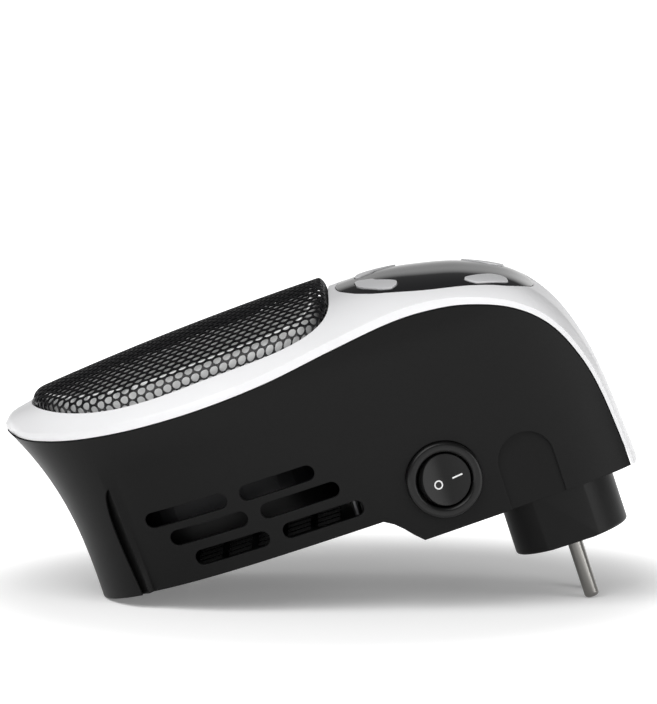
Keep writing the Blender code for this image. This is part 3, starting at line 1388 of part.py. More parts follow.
def make_plug_body():
    """A round two-pin plug, held in the housing's floor by a flange, with a guide notch in either side."""
    floor_top = HOUSING_WALL - PLUG_STEP + CLEARANCE
    flange_top = floor_top + PLUG_FLANGE_WALL
    stub_top = flange_top + PLUG_STUB_HEIGHT
    profile = (
        (0.0, PLUG_FACE_Z), (PLUG_R - PLUG_EDGE_R, PLUG_FACE_Z), (PLUG_R, PLUG_FACE_Z + PLUG_EDGE_R),
        (PLUG_R, floor_top), (PLUG_FLANGE_R, floor_top), (PLUG_FLANGE_R, flange_top), (PLUG_STUB_R, flange_top),
        (PLUG_STUB_R, stub_top), (0.0, stub_top),
    )
    plug = turned_object("plug_body", profile, PLUG_SIDES)
    low, high = PLUG_FACE_Z - OVERRUN, -PLUG_STEP
    for sign in (-1, 1):
        y = sign * (PLUG_R - NOTCH_DEPTH + PLUG_R / 2)
        cut(plug, box_object("notch", (NOTCH_WIDTH, PLUG_R, high - low), (0.0, y, (low + high) / 2)))
        bore = rod_object(
            "pin_bore", PIN_R + PIN_CLEARANCE, PLUG_FACE_Z - OVERRUN, stub_top + OVERRUN,
            (PIN_X - PLUG_X, sign * PIN_PITCH / 2), PIN_SIDES,
        )
        cut(plug, bore)
    plug.data.transform(Matrix.Translation((PLUG_X, 0.0, 0.0)))
    return finish(plug, "shell_black")


def make_pins():
    top = HOUSING_WALL - PLUG_STEP + CLEARANCE + PLUG_FLANGE_WALL + PLUG_STUB_HEIGHT + PIN_TAIL
    tip = PLUG_FACE_Z - PIN_LENGTH
    arc = 4
    profile = [(0.0, tip)]
    for step in range(arc + 1):
        angle = math.pi / 2 * step / arc
        radius = PIN_R - PIN_TIP_R + PIN_TIP_R * math.sin(angle)
        profile.append((radius, tip + PIN_TIP_R * (1 - math.cos(angle))))
    profile += [(PIN_R, top), (0.0, top)]
    for name, sign in (("pin_live", -1), ("pin_neutral", 1)):
        pin = turned_object(name, profile, PIN_SIDES)
        pin.data.transform(Matrix.Translation((PIN_X, sign * PIN_PITCH / 2, 0.0)))
        finish(pin, "pin_nickel")


# Power board


def make_power_board():
    level = POWER_BOARD_Z
    board = box_object(
        "power_board", POWER_BOARD, (POWER_BOARD_X, 0.0, level + POWER_BOARD[2] / 2), PARTS
    )
    finish(board, "board_green")
    top = level + POWER_BOARD[2] + CLEARANCE
    x = POWER_BOARD_X - POWER_BOARD[0] / 4
    parts = (
        ("relay", RELAY_SIZE, (x, POWER_BOARD[1] / 4)),
        ("capacitor", CAPACITOR_SIZE, (x, -POWER_BOARD[1] / 4)),
        ("terminal_block", TERMINAL_SIZE, (POWER_BOARD_X + POWER_BOARD[0] / 3, 0.0)),
    )
    for name, size, (x, y) in parts:
        finish(box_object(name, size, (x, y, top + size[2] / 2), PARTS), "component_dark")


# Leads


def make_lead(name, route):
    """A thin insulated lead along a smooth curve through the points of its route."""
    points = [np.array(point) for point in route]
    places = np.linspace(0.0, len(points) - 1, LEAD_STEPS)
    curve = bpy.data.curves.new(name, "CURVE")
    curve.dimensions = "3D"
    curve.bevel_depth = LEAD_R
    curve.bevel_resolution = LEAD_ROUND_STEPS
    curve.use_fill_caps = True
    line = curve.splines.new("POLY")
    line.points.add(LEAD_STEPS - 1)
    for point, place in zip(line.points, places):
        point.co = (*spline(points, place), 1.0)
    curve.materials.append(make_material("lead_red"))
    lead = bpy.data.objects.new(name, curve)
    PARTS.objects.link(lead)
    return lead


def make_leads():
    board_top = POWER_BOARD_Z + POWER_BOARD[2] + CLEARANCE + LEAD_R
    heater_x = FAN_X + HEATER_OUTER[0] / 2 + CLEARANCE
    heater_z = SHROUD_BASE + SHROUD_PLATE + HEATER_OUTER[2] / 2
    lead_y = COLLAR_PORT[1] / 9
    board_x = POWER_BOARD_X - POWER_BOARD[0] / 2 + LEAD_R
    for name, y in (("heater_lead_1", -lead_y), ("heater_lead_2", lead_y)):
        route = (
            (heater_x, y, heater_z),
            (SHROUD_END_X, y, heater_z),
            ((SHROUD_END_X + board_x) / 2, y, (heater_z + board_top) / 2 + OVERRUN),
            (board_x, y, board_top + OVERRUN),
            (board_x + LEAD_R, y, board_top),
        )
        make_lead(name, route)
    under_board = board_frame() @ Vector((0.0, 0.0, -CONTROL_BOARD[2] - CLEARANCE))
    cable_x = POWER_BOARD_X
    route = (
        tuple(under_board),
        (under_board.x, 0.0, under_board.z - OVERRUN),
        (cable_x, 0.0, board_top + 2 * OVERRUN),
        (cable_x, 0.0, board_top - LEAD_R),
    )
    make_lead("panel_lead", route)
    blade = switch_frame() @ Vector((0.0, 0.0, -SWITCH_BODY_DEPTH - SWITCH_BLADE[1] - CLEARANCE))
    board_low = POWER_BOARD_Z + POWER_BOARD[2] / 2
    board_edge = POWER_BOARD_X - POWER_BOARD[0] / 2 - CLEARANCE
    route = (
        tuple(blade),
        (blade.x, blade.y + OVERRUN, blade.z),
        ((blade.x + board_edge) / 2, blade.y + OVERRUN, (blade.z + board_low) / 2),
        (board_edge, blade.y + OVERRUN, board_low),
    )
    make_lead("switch_lead", route)


# The lean of the whole part


def points_of(objects, matrix=None):
    bpy.context.view_layer.update()
    points = []
    for obj in objects:
        if obj.type != "MESH":
            continue
        place = obj.matrix_world if matrix is None else matrix @ obj.matrix_local
        points += [place @ vertex.co for vertex in obj.data.vertices]
    return points


def lean_the_part():
    """Parents every piece to one empty, and turns and shifts it so that the tail's edge and the pins rest level."""
    lean = bpy.data.objects.new("lean", None)
    PARTS.objects.link(lean)
    tail = points_of([bpy.data.objects["rear_housing"], bpy.data.objects["back_cover"]])
    pins = points_of([bpy.data.objects["pin_live"]])
    low, high = 0.0, math.pi / 4
    for _ in range(BISECTION_STEPS):
        angle = (low + high) / 2
        rise, fall = math.sin(angle), math.cos(angle)
        tail_low = min(point.x * rise + point.z * fall for point in tail)
        pin_low = min(point.x * rise + point.z * fall for point in pins)
        if pin_low < tail_low:
            low = angle
        else:
            high = angle
    turn = Matrix.Rotation(-angle, 4, "Y")
    moved = [turn @ point for point in points_of([obj for obj in PARTS.objects if obj.type == "MESH"])]
    middle = (min(point.x for point in moved) + max(point.x for point in moved)) / 2
    floor = min(point.z for point in moved)
    for obj in PARTS.objects:
        if obj is not lean and obj.parent is None:
            obj.parent = lean
    lean.rotation_euler = (0.0, -angle, 0.0)
    lean.location = (-middle, 0.0, -floor)
    bpy.context.view_layer.update()


def main():
    clear_scene()
    make_rear_housing()
    make_back_cover()
    make_screws()
    make_front_cover()
    make_control_panel()
    make_buttons()
    make_control_board()
    make_outlet_grille()
    make_grille_collar()
    make_fan_shroud()
    make_motor_and_shaft()
    make_impeller()
    make_heater()
    make_sensors()
    make_switch_housing()
    make_switch_rocker()
    make_plug_body()
    make_pins()
    make_power_board()
    make_leads()
    lean_the_part()


if __name__ == "__main__":
    main()
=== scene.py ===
"""The looks of the plug-in fan heater: housing, cover, perforated grille, panel, switch, plug, and the studio.

Shapes that follow the body are laid out in the heater's own body frame, where +X runs from the tail to the plug
end, +Z points out through the grille and -Y is the side with the switch. The lean matrix then puts them where the
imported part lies. All lengths are in metres, and curves have finer steps here than in the solids.
"""

import json
import math
from contextlib import contextmanager

import bpy
import numpy as np
from bpy.props import FloatProperty, FloatVectorProperty, PointerProperty
from mathutils import Matrix, Vector


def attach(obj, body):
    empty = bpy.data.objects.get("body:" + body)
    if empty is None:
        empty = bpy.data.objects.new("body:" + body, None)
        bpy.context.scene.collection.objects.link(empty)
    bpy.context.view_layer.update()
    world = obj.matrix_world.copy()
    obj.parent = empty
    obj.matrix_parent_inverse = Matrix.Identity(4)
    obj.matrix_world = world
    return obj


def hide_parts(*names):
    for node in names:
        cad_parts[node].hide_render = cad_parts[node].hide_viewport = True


bl_info = {
    "name": "Plug-in fan heater",
    "version": (1, 0, 0),
    "blender": (4, 5, 0),
    "location": "View3D > Sidebar > Heater",
    "description": "Dresses the packed heater and sets up its studio",
    "category": "Object",
}

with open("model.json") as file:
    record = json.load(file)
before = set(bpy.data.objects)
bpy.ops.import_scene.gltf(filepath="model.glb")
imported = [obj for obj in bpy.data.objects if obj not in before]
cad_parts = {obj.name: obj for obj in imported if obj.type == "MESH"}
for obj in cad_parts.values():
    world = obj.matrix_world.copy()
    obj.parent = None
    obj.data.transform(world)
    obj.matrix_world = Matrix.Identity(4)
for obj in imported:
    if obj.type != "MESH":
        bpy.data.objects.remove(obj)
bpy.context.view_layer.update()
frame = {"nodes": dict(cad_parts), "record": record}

# Body, as the solids have it, but for the groove, which is only here, and the slots' places along the body
BODY_LENGTH = 0.1913
BODY_HEIGHT = 0.0823
RING_WIDTH = 0.102
BACK_WIDTH = 0.092
TAIL_OVERHANG = 0.0127
PLUG_STEP = 0.0098
HEAD_X = BODY_LENGTH - TAIL_OVERHANG
CLEARANCE = 0.0003
OVERRUN = 0.004
MERGE_DISTANCE = 1e-6
HOUSING_WALL = 0.0024
COVER_WALL = 0.002
RIM_BAND = 0.0028
STATION_SHARES = (
    ((0.001, 0.868), (0.000, 0.883), 0.45, 2.8),
    ((0.017, 0.841), (0.017, 0.914), 0.70, 2.8),
    ((0.052, 0.816), (0.052, 0.931), 0.90, 2.8),
    ((0.123, 0.788), (0.123, 0.972), 1.00, 2.8),
    ((0.222, 0.770), (0.222, 0.990), 1.00, 2.8),
    ((0.338, 0.768), (0.338, 0.994), 1.00, 2.8),
    ((0.454, 0.785), (0.455, 0.992), 1.00, 2.8),
    ((0.570, 0.823), (0.571, 0.984), 1.00, 2.8),
    ((0.676, 0.852), (0.670, 0.983), 1.00, 3.2),
    ((0.747, 0.849), (0.751, 0.950), 1.00, 3.8),
    ((0.811, 0.821), (0.825, 0.902), 0.85, 4.0),
    ((0.879, 0.752), (0.897, 0.816), 0.70, 4.0),
    ((0.928, 0.646), (0.946, 0.682), 0.60, 4.0),
    ((0.959, 0.499), (0.975, 0.516), 0.50, 4.0),
    ((0.977, 0.318), (0.990, 0.326), 0.40, 4.0),
    ((0.988, 0.000), (1.000, 0.000), 0.30, 4.0),
)
PROFILE_STEPS = 480
PROFILE_OVERRUN_SHARE = 0.2
SEAM_STEPS = 192
SKIRT = 0.003
WIDEST_SHARE = 0.39
WIDEST_X = WIDEST_SHARE * BODY_LENGTH - TAIL_OVERHANG
TAIL_ROUNDNESS = 2.35
HEAD_ROUNDNESS = 6.0
HEAD_TAPER_SHARE = 0.26
HEAD_TAPER_POWER = 1.6
RING_LEVEL = 0.0615
SIDE_LEVEL = 0.052
TAIL_FLARE_POWER = 2.6
SIDE_FLARE_POWER = 1.5
TAIL_STEPS = 44
HEAD_STEPS = 72
HOUSING_LEVELS = 30
HOUSING_BOTTOM_SHARE = -0.25
HOUSING_TOP_SHARE = 1.25
SCOOP_X = 0.016
SCOOP_LEAN = 0.0018
SCOOP_END_X = 0.0955
SCOOP_TOP = 0.7 * RING_LEVEL
SCOOP_DEPTH = 0.0032
SCOOP_STEP = 0.0022
SCOOP_STEP_GROWTH = 0.0012
GROOVE_TOP = 0.037
GROOVE_WIDTH = 0.0044
GROOVE_DEPTH = 0.004
GROOVE_SHIFT = 0.0012
GROOVE_BACKING = 0.0016
GROOVE_STEPS = 28
GROOVE_ENDS = (0.62, 0.55, 0.03)
GROOVE_SHALLOWING = 6
VENT_END_X = 0.0955
STEP_END_X = 0.1062
STEP_CURVE_SHARES = ((0.0, 0.0), (0.28, 0.19), (0.52, 0.44), (0.74, 0.72), (1.0, 1.0))
SLOT_HEIGHT = 0.0052
SLOT_DEPTH = 0.006
SLOT_ARC_STEPS = 14
SLOT_ROWS = (
    (0.0228, (0.0232, 0.0505), (0.0548, 0.0797)),
    (0.0152, (0.0291, 0.0550), (0.0594, 0.0856)),
    (0.0069, (0.0348, 0.0596), (0.0641, 0.0911)),
)
GRIP_X = 0.1445
GRIP_WIDTH = 0.0186
GRIP_APEX = 0.0131
GRIP_DEPTH = 0.0013
GRIP_SLANT_DEG = 9.0
GRIP_ARC_STEPS = 32
COVER_END_STEPS = 4
COVER_HEAD_STEPS = 12
COVER_SIDE_STEPS = 110
COVER_RINGS = 26
COVER_RING_POWER = 1.3
SMOOTH_DEG = 30.0
COVER_SMOOTH_DEG = 50.0

# Grille, as the solids have it, but for a tighter shoulder, and a collar that reaches up to the sheet
GRILLE_CENTRE_X = 0.050
GRILLE_TAIL_LENGTH = 0.0515
GRILLE_HEAD_LENGTH = 0.0497
GRILLE_HALF_WIDTH = 0.044
GRILLE_TAIL_ROUNDNESS = 2.3
GRILLE_HEAD_ROUNDNESS = 6.0
GRILLE_GAP = 0.0007
GRILLE_SHOULDER = 0.0033
GRILLE_END_SHOULDER = 0.0015
GRILLE_END_POWER = 4
GRILLE_DOME_LEVEL = 0.0739
GRILLE_DOME_RISE = 0.0028
GRILLE_END_SAG = 0.0012
GRILLE_SIDE_SAG = 0.009
GRILLE_SINK = 0.0024
COLLAR_INSET = 0.0042
COLLAR_WALL = 0.0007
COLLAR_DROP = 0.0005
COLLAR_FOOT = 0.0403
COLLAR_PORT = (0.012, 0.028, 0.0082)
COLLAR_STEPS = 180
RAYS = 720
RAY_STEPS = 24
CELL_SIDES = 12
CELL_INSET_SHARE = 0.9
CELL_MERGE_SHARE = 0.01
GRILLE_SMOOTH_DEG = 40.0

# Fan's shroud, as the solids have it, and the guide under it, which is only here
SHROUD_R = 0.036
SHROUD_WALL = 0.0018
SHROUD_BOTTOM = 0.0165
SHROUD_SIDES = 96
AIR_GUIDE_LOW = 0.0095
AIR_GUIDE_FAR_LOW = 0.0038

# Panel and buttons, as the solids have them, but for how far the buttons stand out
PANEL_START_X = 0.1031
PANEL_LENGTH = 0.0609
PANEL_HALF_WIDTH = 0.0373
PANEL_WALL = 0.002
PANEL_CUT_DEPTH = 0.0065
PANEL_OUTLINE_SHARES = (
    (0.0, 0.0), (0.007, 0.2), (0.023, 0.367), (0.085, 0.614), (0.148, 0.759), (0.209, 0.85), (0.333, 0.949),
    (0.455, 0.995), (0.578, 0.987), (0.7, 0.925), (0.819, 0.839), (0.877, 0.783), (0.936, 0.63), (0.974, 0.418),
    (0.993, 0.2), (1.0, 0.0),
)
TAIL_BUTTON_SHARES = (
    (0.108, 0.276), (0.118, 0.139), (0.194, 0.26), (0.225, 0.391), (0.314, 0.584), (0.323, 0.718), (0.296, 0.812),
    (0.273, 0.818), (0.217, 0.751), (0.13, 0.523),
)
HEAD_BUTTON_SHARES = (
    (0.675, 0.735), (0.693, 0.657), (0.803, 0.434), (0.865, 0.464), (0.882, 0.571), (0.872, 0.686), (0.755, 0.842),
    (0.714, 0.839), (0.681, 0.788),
)
BUTTON_PROUD = 0.0004
BUTTON_EDGE = 0.0003
BUTTON_EDGE_DEG = 50.0
BUTTON_EDGE_STEPS = 3
PANEL_RINGS = 20
PATCH_RINGS = 12
PANEL_CUTS = 4
BUTTON_CUTS = 6
BUTTONS = (
    ("timer_button", "timer_key", TAIL_BUTTON_SHARES, -1),
    ("speed_button", "speed_key", TAIL_BUTTON_SHARES, 1),
    ("warmer_button", "warmer_key", HEAD_BUTTON_SHARES, -1),
    ("cooler_button", "cooler_key", HEAD_BUTTON_SHARES, 1),
)

# Switch, as the solids have it, and its marks, which are only here
SWITCH_X = 0.118
SWITCH_Z = 0.0067
SWITCH_BEZEL_R = 0.0122
SWITCH_BEZEL_HEIGHT = 0.0022
SWITCH_BODY_R = 0.0102
SWITCH_BODY_DEPTH = 0.0165
SWITCH_OPENING_R = 0.00895
SWITCH_CAVITY_DEPTH = 0.0085
ROCKER_R = 0.00865
ROCKER_PIVOT_DEPTH = -0.0008
ROCKER_BACK = 0.0042
ROCKER_FACE = 0.0024
ROCKER_FACE_CURVE_R = 0.024
ROCKER_TILT_DEG = 8.0
ROCKER_SIDES = 96
FACE_CURVE_SIDES = 512
SWITCH_SIDES = 96
SWITCH_SEAT_SIDES = 64
EDGE_ARC_STEPS = 8
OFF_MARK_PLACE = (-0.0028, -0.0008)
OFF_MARK_R = 0.00125
OFF_MARK_LINE_R = 0.00022
OFF_MARK_STEPS = (48, 8)
ON_MARK_PLACE = (0.00385, -0.0001)
ON_MARK_SIZE = (0.0034, 0.00048, 0.0002)
MARK_TURN_DEG = 5.5
MARK_CUTS = 6
MARK_FLATTENING = 0.25
MARK_LIFT = 0.00002

# Plug, as the solids have it
PLUG_X = 0.1506
PLUG_R = 0.0189
PLUG_FACE_Z = -0.0299
PLUG_FLANGE_R = 0.0216
PLUG_FLANGE_WALL = 0.0022
PLUG_STUB_R = 0.0150
PLUG_STUB_HEIGHT = 0.0050
PLUG_EDGE_R = 0.0008
NOTCH_WIDTH = 0.0187
NOTCH_DEPTH = 0.0021
PIN_R = 0.0024
PIN_LENGTH = 0.0195
PIN_PITCH = 0.019
PIN_X = PLUG_X + 0.0003
PIN_TAIL = 0.003
PIN_TIP_R = 0.0013
PLUG_SIDES = 128
PLUG_HOLE_SIDES = 96
PLUG_ARC_STEPS = 6
PIN_SIDES = 48

# Photograph's camera
VIEW_ELEVATION_DEG = 7.1
VIEW_DISTANCE = 2.0
VIEW_FOCAL_PIXELS = 6140.0
VIEW_SIZE = (657, 704)
VIEW_ANCHOR = Vector((0.0, 0.0, 0.001))
VIEW_ANCHOR_PIXEL = (103.0, 589.5)
SENSOR_HEIGHT = 36.0
CAMERA_REACH = 20.0

# Studio
FLOOR_SIZE = 12.0
FLOOR_ROUGHNESS = 0.9
KEY_PLACE = (-0.4, -0.66, 0.88)
KEY_SIZE = (0.9, 0.9)
FILL_PLACE = (1.05, -0.75, 0.34)
FILL_SIZE = (0.9, 0.6)
LAMP_TARGET = (0.0, 0.0, 0.05)
CEILING_FADE_DEG = 1.5
WHITE = (1.0, 1.0, 1.0, 1.0)

# Finishes: roughness, how far it varies, grain, width of the rounded edge, specular level
GRAIN_HEIGHT = 0.0001
EDGE_SAMPLES = 6
FINISHES = {
    "Housing plastic": (0.42, 0.08, 0.25, 0.0005, 0.11),
    "Cover gloss": (0.3, 0.04, 0.0, 0.0, 0.5),
    "Panel gloss": (0.06, 0.02, 0.0, 0.0003, 0.15),
    "Button silver": (0.3, 0.05, 0.05, 0.0, 0.5),
    "Grille paint": (0.4, 0.1, 0.1, 0.0, 0.32),
    "Collar sheet": (0.3, 0.1, 0.1, 0.0, 0.5),
    "Switch plastic": (0.3, 0.05, 0.1, 0.0, 0.24),
    "Rocker plastic": (0.28, 0.04, 0.05, 0.0003, 0.17),
    "Mark ink": (0.5, 0.05, 0.1, 0.0, 0.5),
    "Plug plastic": (0.4, 0.08, 0.2, 0.0006, 0.16),
    "Pin nickel": (0.22, 0.12, 0.05, 0.0, 0.5),
    "Guide plastic": (0.55, 0.08, 0.2, 0.0, 0.14),
    "Back cover plastic": (0.45, 0.08, 0.2, 0.0, 0.14),
    # Inner steel: its own grey, darkened further as painted shade.
    "Zinced steel with painted shade": (0.45, 0.15, 0.2, 0.0, 0.5),
    "Board mask": (0.45, 0.05, 0.3, 0.0, 0.5),
    "Dark component": (0.55, 0.08, 0.3, 0.0, 0.2),
    "Fin aluminium": (0.45, 0.15, 0.2, 0.0, 0.5),
    "Heater carrier": (0.6, 0.1, 0.3, 0.0, 0.5),
    "Lead sleeve": (0.5, 0.08, 0.2, 0.0, 0.5),
}
METALS = ("Pin nickel", "Zinced steel with painted shade", "Fin aluminium")
INNER_COLOURS = {
    # The inner steel is darker than bare zinc: partly its own grey, partly painted shade for the dark inside of the
    # housing behind the slots.
    "Zinced steel with painted shade": (0.14, 0.14, 0.145),
    "Board mask": (0.02, 0.12, 0.06),
    "Dark component": (0.008, 0.008, 0.009),
    "Fin aluminium": (0.42, 0.42, 0.43),
    "Heater carrier": (0.16, 0.15, 0.13),
    "Lead sleeve": (0.3, 0.03, 0.02),
}
INNER_PIECES = {
    "Back cover plastic": ("back_cover",),
    "Zinced steel with painted shade": ("motor", "cutout", "screw"),
    "Board mask": ("board",),
    "Dark component": ("shroud", "impeller", "display", "relay", "capacitor", "terminal", "tact"),
    "Fin aluminium": ("heating_element", "fuse"),
    "Heater carrier": ("heater_frame",),
    "Lead sleeve": ("lead",),
}


def mount_place(name):
    mount = next(mount for mount in frame["record"]["mounts"] if mount["name"] == name)
    return Vector(mount["pos_m"]), Vector(mount["axis"])


def lean_matrix():
    """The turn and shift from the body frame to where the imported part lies."""
    place, down = mount_place("plug_face")
    turn = Matrix.Rotation(-math.atan2(down.x, -down.z), 4, "Y")
    shift = place - turn @ Vector((PLUG_X, 0.0, PLUG_FACE_Z))
    return Matrix.Translation(shift) @ turn


LEAN = lean_matrix()


# Selecting, joining and finishing


def select_only(obj):
    for other in bpy.context.selected_objects:
        other.select_set(False)
    obj.select_set(True)
    bpy.context.view_layer.objects.active = obj


def apply_modifier(obj, name, kind, **values):
    modifier = obj.modifiers.new(name, kind)
    for key, value in values.items():
        setattr(modifier, key, value)
    select_only(obj)
    bpy.ops.object.modifier_apply(modifier=modifier.name)


def combine(target, other, operation):
    """Applies a Boolean to the target and removes the other object."""
    apply_modifier(target, operation.lower(), "BOOLEAN", operation=operation, object=other, solver="EXACT")
    bpy.data.objects.remove(other, do_unlink=True)


def cut(target, *cutters):
    for cutter in cutters:
        combine(target, cutter, "DIFFERENCE")


@contextmanager
def edited(obj):
    """Edit mode with the whole mesh selected."""
    select_only(obj)
    bpy.ops.object.mode_set(mode="EDIT")
    bpy.ops.mesh.select_all(action="SELECT")
    yield
    bpy.ops.object.mode_set(mode="OBJECT")


def faces_out(obj):
    """Merges doubled points and turns every face outwards."""
    with edited(obj):
        bpy.ops.mesh.remove_doubles(threshold=MERGE_DISTANCE)
        bpy.ops.mesh.normals_make_consistent(inside=False)
    return obj


def drawn(name, points, edges, faces):
    mesh = bpy.data.meshes.new(name)
    mesh.from_pydata(points, edges, faces)
    obj = bpy.data.objects.new(name, mesh)
    bpy.context.scene.collection.objects.link(obj)
    return obj


def arc(centre, radius, start_deg, end_deg, steps):
    start, sweep = math.radians(start_deg), math.radians(end_deg - start_deg)
    angles = [start + sweep * step / steps for step in range(steps + 1)]
    return [(centre[0] + radius * math.cos(angle), centre[1] + radius * math.sin(angle)) for angle in angles]


def mirrored(half):
    """An outline from its half, whose first and last point lie on the middle line."""
    return half + [(x, -y) for x, y in reversed(half[1:-1])]


def lofted(name, loops, closed=True):
    """A skin over equal loops of points, with a face on the first and the last one."""
    count = len(loops[0])
    faces = []
    for low in range(0, (len(loops) - 1) * count, count):
        for index in range(count):
            following = (index + 1) % count
            faces.append((low + index, low + following, low + count + following, low + count + index))
    if closed:
        faces.append(tuple(reversed(range(count))))
        faces.append(tuple(range((len(loops) - 1) * count, len(loops) * count)))
    return faces_out(drawn(name, [tuple(point) for loop in loops for point in loop], [], faces))


def turned(name, profile, sides, ring=False):
    """A piece spun from its (radius, level) profile, which meets the axis at both ends unless it is a ring."""
    points = [(radius, 0.0, level) for radius, level in profile]
    edges = [(index, (index + 1) % len(points)) for index in range(len(points) - (not ring))]
    obj = drawn(name, points, edges, [])
    with edited(obj):
        bpy.ops.mesh.spin(steps=sides, angle=math.tau, center=(0, 0, 0), axis=(0, 0, 1))
    return faces_out(obj)


def prism(name, outline, low, high):
    """An (x, z) outline extruded along Y."""
    obj = drawn(name, [(x, low, z) for x, z in outline], [], [tuple(range(len(outline)))])
    with edited(obj):
        bpy.ops.mesh.extrude_region_move(TRANSFORM_OT_translate={"value": (0.0, high - low, 0.0)})
    return faces_out(obj)


def block(name, size, centre):
    bpy.ops.mesh.primitive_cube_add(size=1.0, location=centre)
    obj = bpy.context.object
    obj.name = name
    obj.scale = size
    bpy.ops.object.transform_apply(location=True, rotation=False, scale=True)
    return obj


def rod(name, radius, low, high, place, sides):
    bpy.ops.mesh.primitive_cylinder_add(
        vertices=sides, radius=radius, depth=high - low, location=(*place, (low + high) / 2)
    )
    obj = bpy.context.object
    obj.name = name
    bpy.ops.object.transform_apply(location=True, rotation=False, scale=False)
    return obj


def finish(obj, body, nodes, material, smooth_deg=SMOOTH_DEG):
    """Puts a finished piece in its place on the leaning part, hangs it on the body it rides on, and hides the nodes
    it stands for.
    """
    obj.data.transform(LEAN)
    select_only(obj)
    bpy.ops.object.shade_smooth_by_angle(angle=math.radians(smooth_deg))
    obj.data.materials.clear()
    obj.data.materials.append(material)
    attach(obj, body)
    if nodes:
        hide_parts(*nodes)


# The body's own curves


def spline(points, place):
    index = min(int(place), len(points) - 2)
    t = place - index
    before = points[index - 1] if index > 0 else 2 * points[0] - points[1]
    start, end = points[index], points[index + 1]
    after = points[index + 2] if index + 2 < len(points) else 2 * points[-1] - points[-2]
    return 0.5 * (
        2 * start
        + (end - before) * t
        + (2 * before - 5 * start + 4 * end - after) * t**2
        + (3 * start - before - 3 * end + after) * t**3
    )


def body_point(shares):
    return np.array([shares[0] * BODY_LENGTH - TAIL_OVERHANG, shares[1] * BODY_HEIGHT - PLUG_STEP])


def flare(level, top, power):
    return min(max(level / top, 0.0), 1.0) ** power


def tail_x(level):
    return -TAIL_OVERHANG * flare(level, RING_LEVEL, TAIL_FLARE_POWER)


def half_width(x, level, inset=0.0):
    opening = flare(level, SIDE_LEVEL, SIDE_FLARE_POWER)
    full = (BACK_WIDTH + (RING_WIDTH - BACK_WIDTH) * opening) / 2 - inset
    if x <= WIDEST_X:
        share = min(max((WIDEST_X - x) / (WIDEST_X - tail_x(level) - inset), 0.0), 1.0)
        return full * (1 - share**TAIL_ROUNDNESS) ** (1 / TAIL_ROUNDNESS)
    share = min((x - WIDEST_X) / (HEAD_X + COVER_WALL - inset - WIDEST_X), 1.0)
    taper = 1 - HEAD_TAPER_SHARE * share**HEAD_TAPER_POWER
    return full * taper * (1 - share**HEAD_ROUNDNESS) ** (1 / HEAD_ROUNDNESS)


def scoop_share(level):
    return min(max(level / SCOOP_TOP, 0.0), 1.0)


def scoop_depth(x, level):
    along = min(max(1 - (x - SCOOP_X) / (SCOOP_END_X - SCOOP_X), 0.0), 1.0)
    return SCOOP_DEPTH * along * math.sqrt(1 - scoop_share(level))


def sample_profiles():
    """The seam, its rim, the crown, the half width and the crown's power, sampled along the body."""
    rows = []
    for seam, crown, band, power in STATION_SHARES:
        rows.append(np.array([*body_point(seam), *body_point(crown), band * RIM_BAND, power]))
    rows.append(2 * rows[-1] - rows[-2])
    places = np.linspace(0.0, len(STATION_SHARES) - 1 + PROFILE_OVERRUN_SHARE, PROFILE_STEPS)
    table = np.array([spline(rows, place) for place in places])
    seam, crown, band, power = table[:, :2], table[:, 2:4], table[:, 4:5], table[:, 5]
    along = np.gradient(seam, axis=0)
    along /= np.linalg.norm(along, axis=1)[:, None]
    rim = seam + band * np.stack([-along[:, 1], along[:, 0]], axis=1)
    widths = np.array([half_width(x, level) for x, level in seam])
    steps = np.linalg.norm(np.diff(crown, axis=0), axis=1)
    lengths = np.concatenate([[0.0], np.cumsum(steps)])
    return {"length": lengths, "seam": seam, "rim": rim, "crown": crown, "width": widths, "power": power}


PROFILE = sample_profiles()
CROWN_RUN = PROFILE["length"][-1]


def at_run(name, run):
    table = PROFILE[name]
    if table.ndim == 1:
        return float(np.interp(run, PROFILE["length"], table))
    return np.array([np.interp(run, PROFILE["length"], table[:, column]) for column in range(2)])


def run_at(x):
    return float(np.interp(x, PROFILE["crown"][:, 0], PROFILE["length"]))


def crown_surface(run, across):
    crown, rim, width = at_run("crown", run), at_run("rim", run), at_run("width", run)
    share = abs(across / width) ** at_run("power", run)
    x, level = crown + (rim - crown) * share
    return Vector((x, across, level))


def crown_normal(run, across):
    step = RIM_BAND / 4
    along = crown_surface(min(run + step, CROWN_RUN), across) - crown_surface(max(run - step, 0.0), across)
    sideways = crown_surface(run, across + step) - crown_surface(run, across - step)
    return along.cross(sideways).normalized()


def crown_point(run, across, above=0.0):
    point = crown_surface(run, across)
    return point + crown_normal(run, across) * above if above else point


def side_outline(level, inset):
    tail_reach = WIDEST_X - tail_x(level) - inset
    head_reach = HEAD_X + COVER_WALL - inset - WIDEST_X
    crease = SCOOP_X - SCOOP_LEAN * scoop_share(level)
    start = crease + SCOOP_STEP + SCOOP_STEP_GROWTH * scoop_share(level)
    crease_angle = math.acos((WIDEST_X - crease) / tail_reach)
    start_angle = -math.asin((WIDEST_X - start) / tail_reach)
    points = []
    for step in range(TAIL_STEPS + 1):
        x = WIDEST_X - tail_reach * math.cos(crease_angle * step / TAIL_STEPS)
        points.append((x, half_width(x, level, inset) if step else 0.0))
    for step in range(HEAD_STEPS):
        angle = start_angle + (math.pi / 2 - start_angle) * step / HEAD_STEPS
        x = WIDEST_X + math.sin(angle) * (head_reach if angle > 0 else tail_reach)
        points.append((x, half_width(x, level, inset) - scoop_depth(x, level)))
    return points + [(WIDEST_X + head_reach, 0.0)]


def envelope(name, inset):
    """The body's outer form, or its hollow, from below the back to over the crown."""
    loops = []
    for share in np.linspace(HOUSING_BOTTOM_SHARE, HOUSING_TOP_SHARE, HOUSING_LEVELS):
        level = share * RING_LEVEL
        loops.append([(x, y, level) for x, y in mirrored(side_outline(level, inset))])
    return lofted(name, loops)


def step_line(rise):
    span = STEP_END_X - VENT_END_X
    return [
        (VENT_END_X + along * span + rise * along, rise - down * PLUG_STEP) for along, down in STEP_CURVE_SHARES
    ]


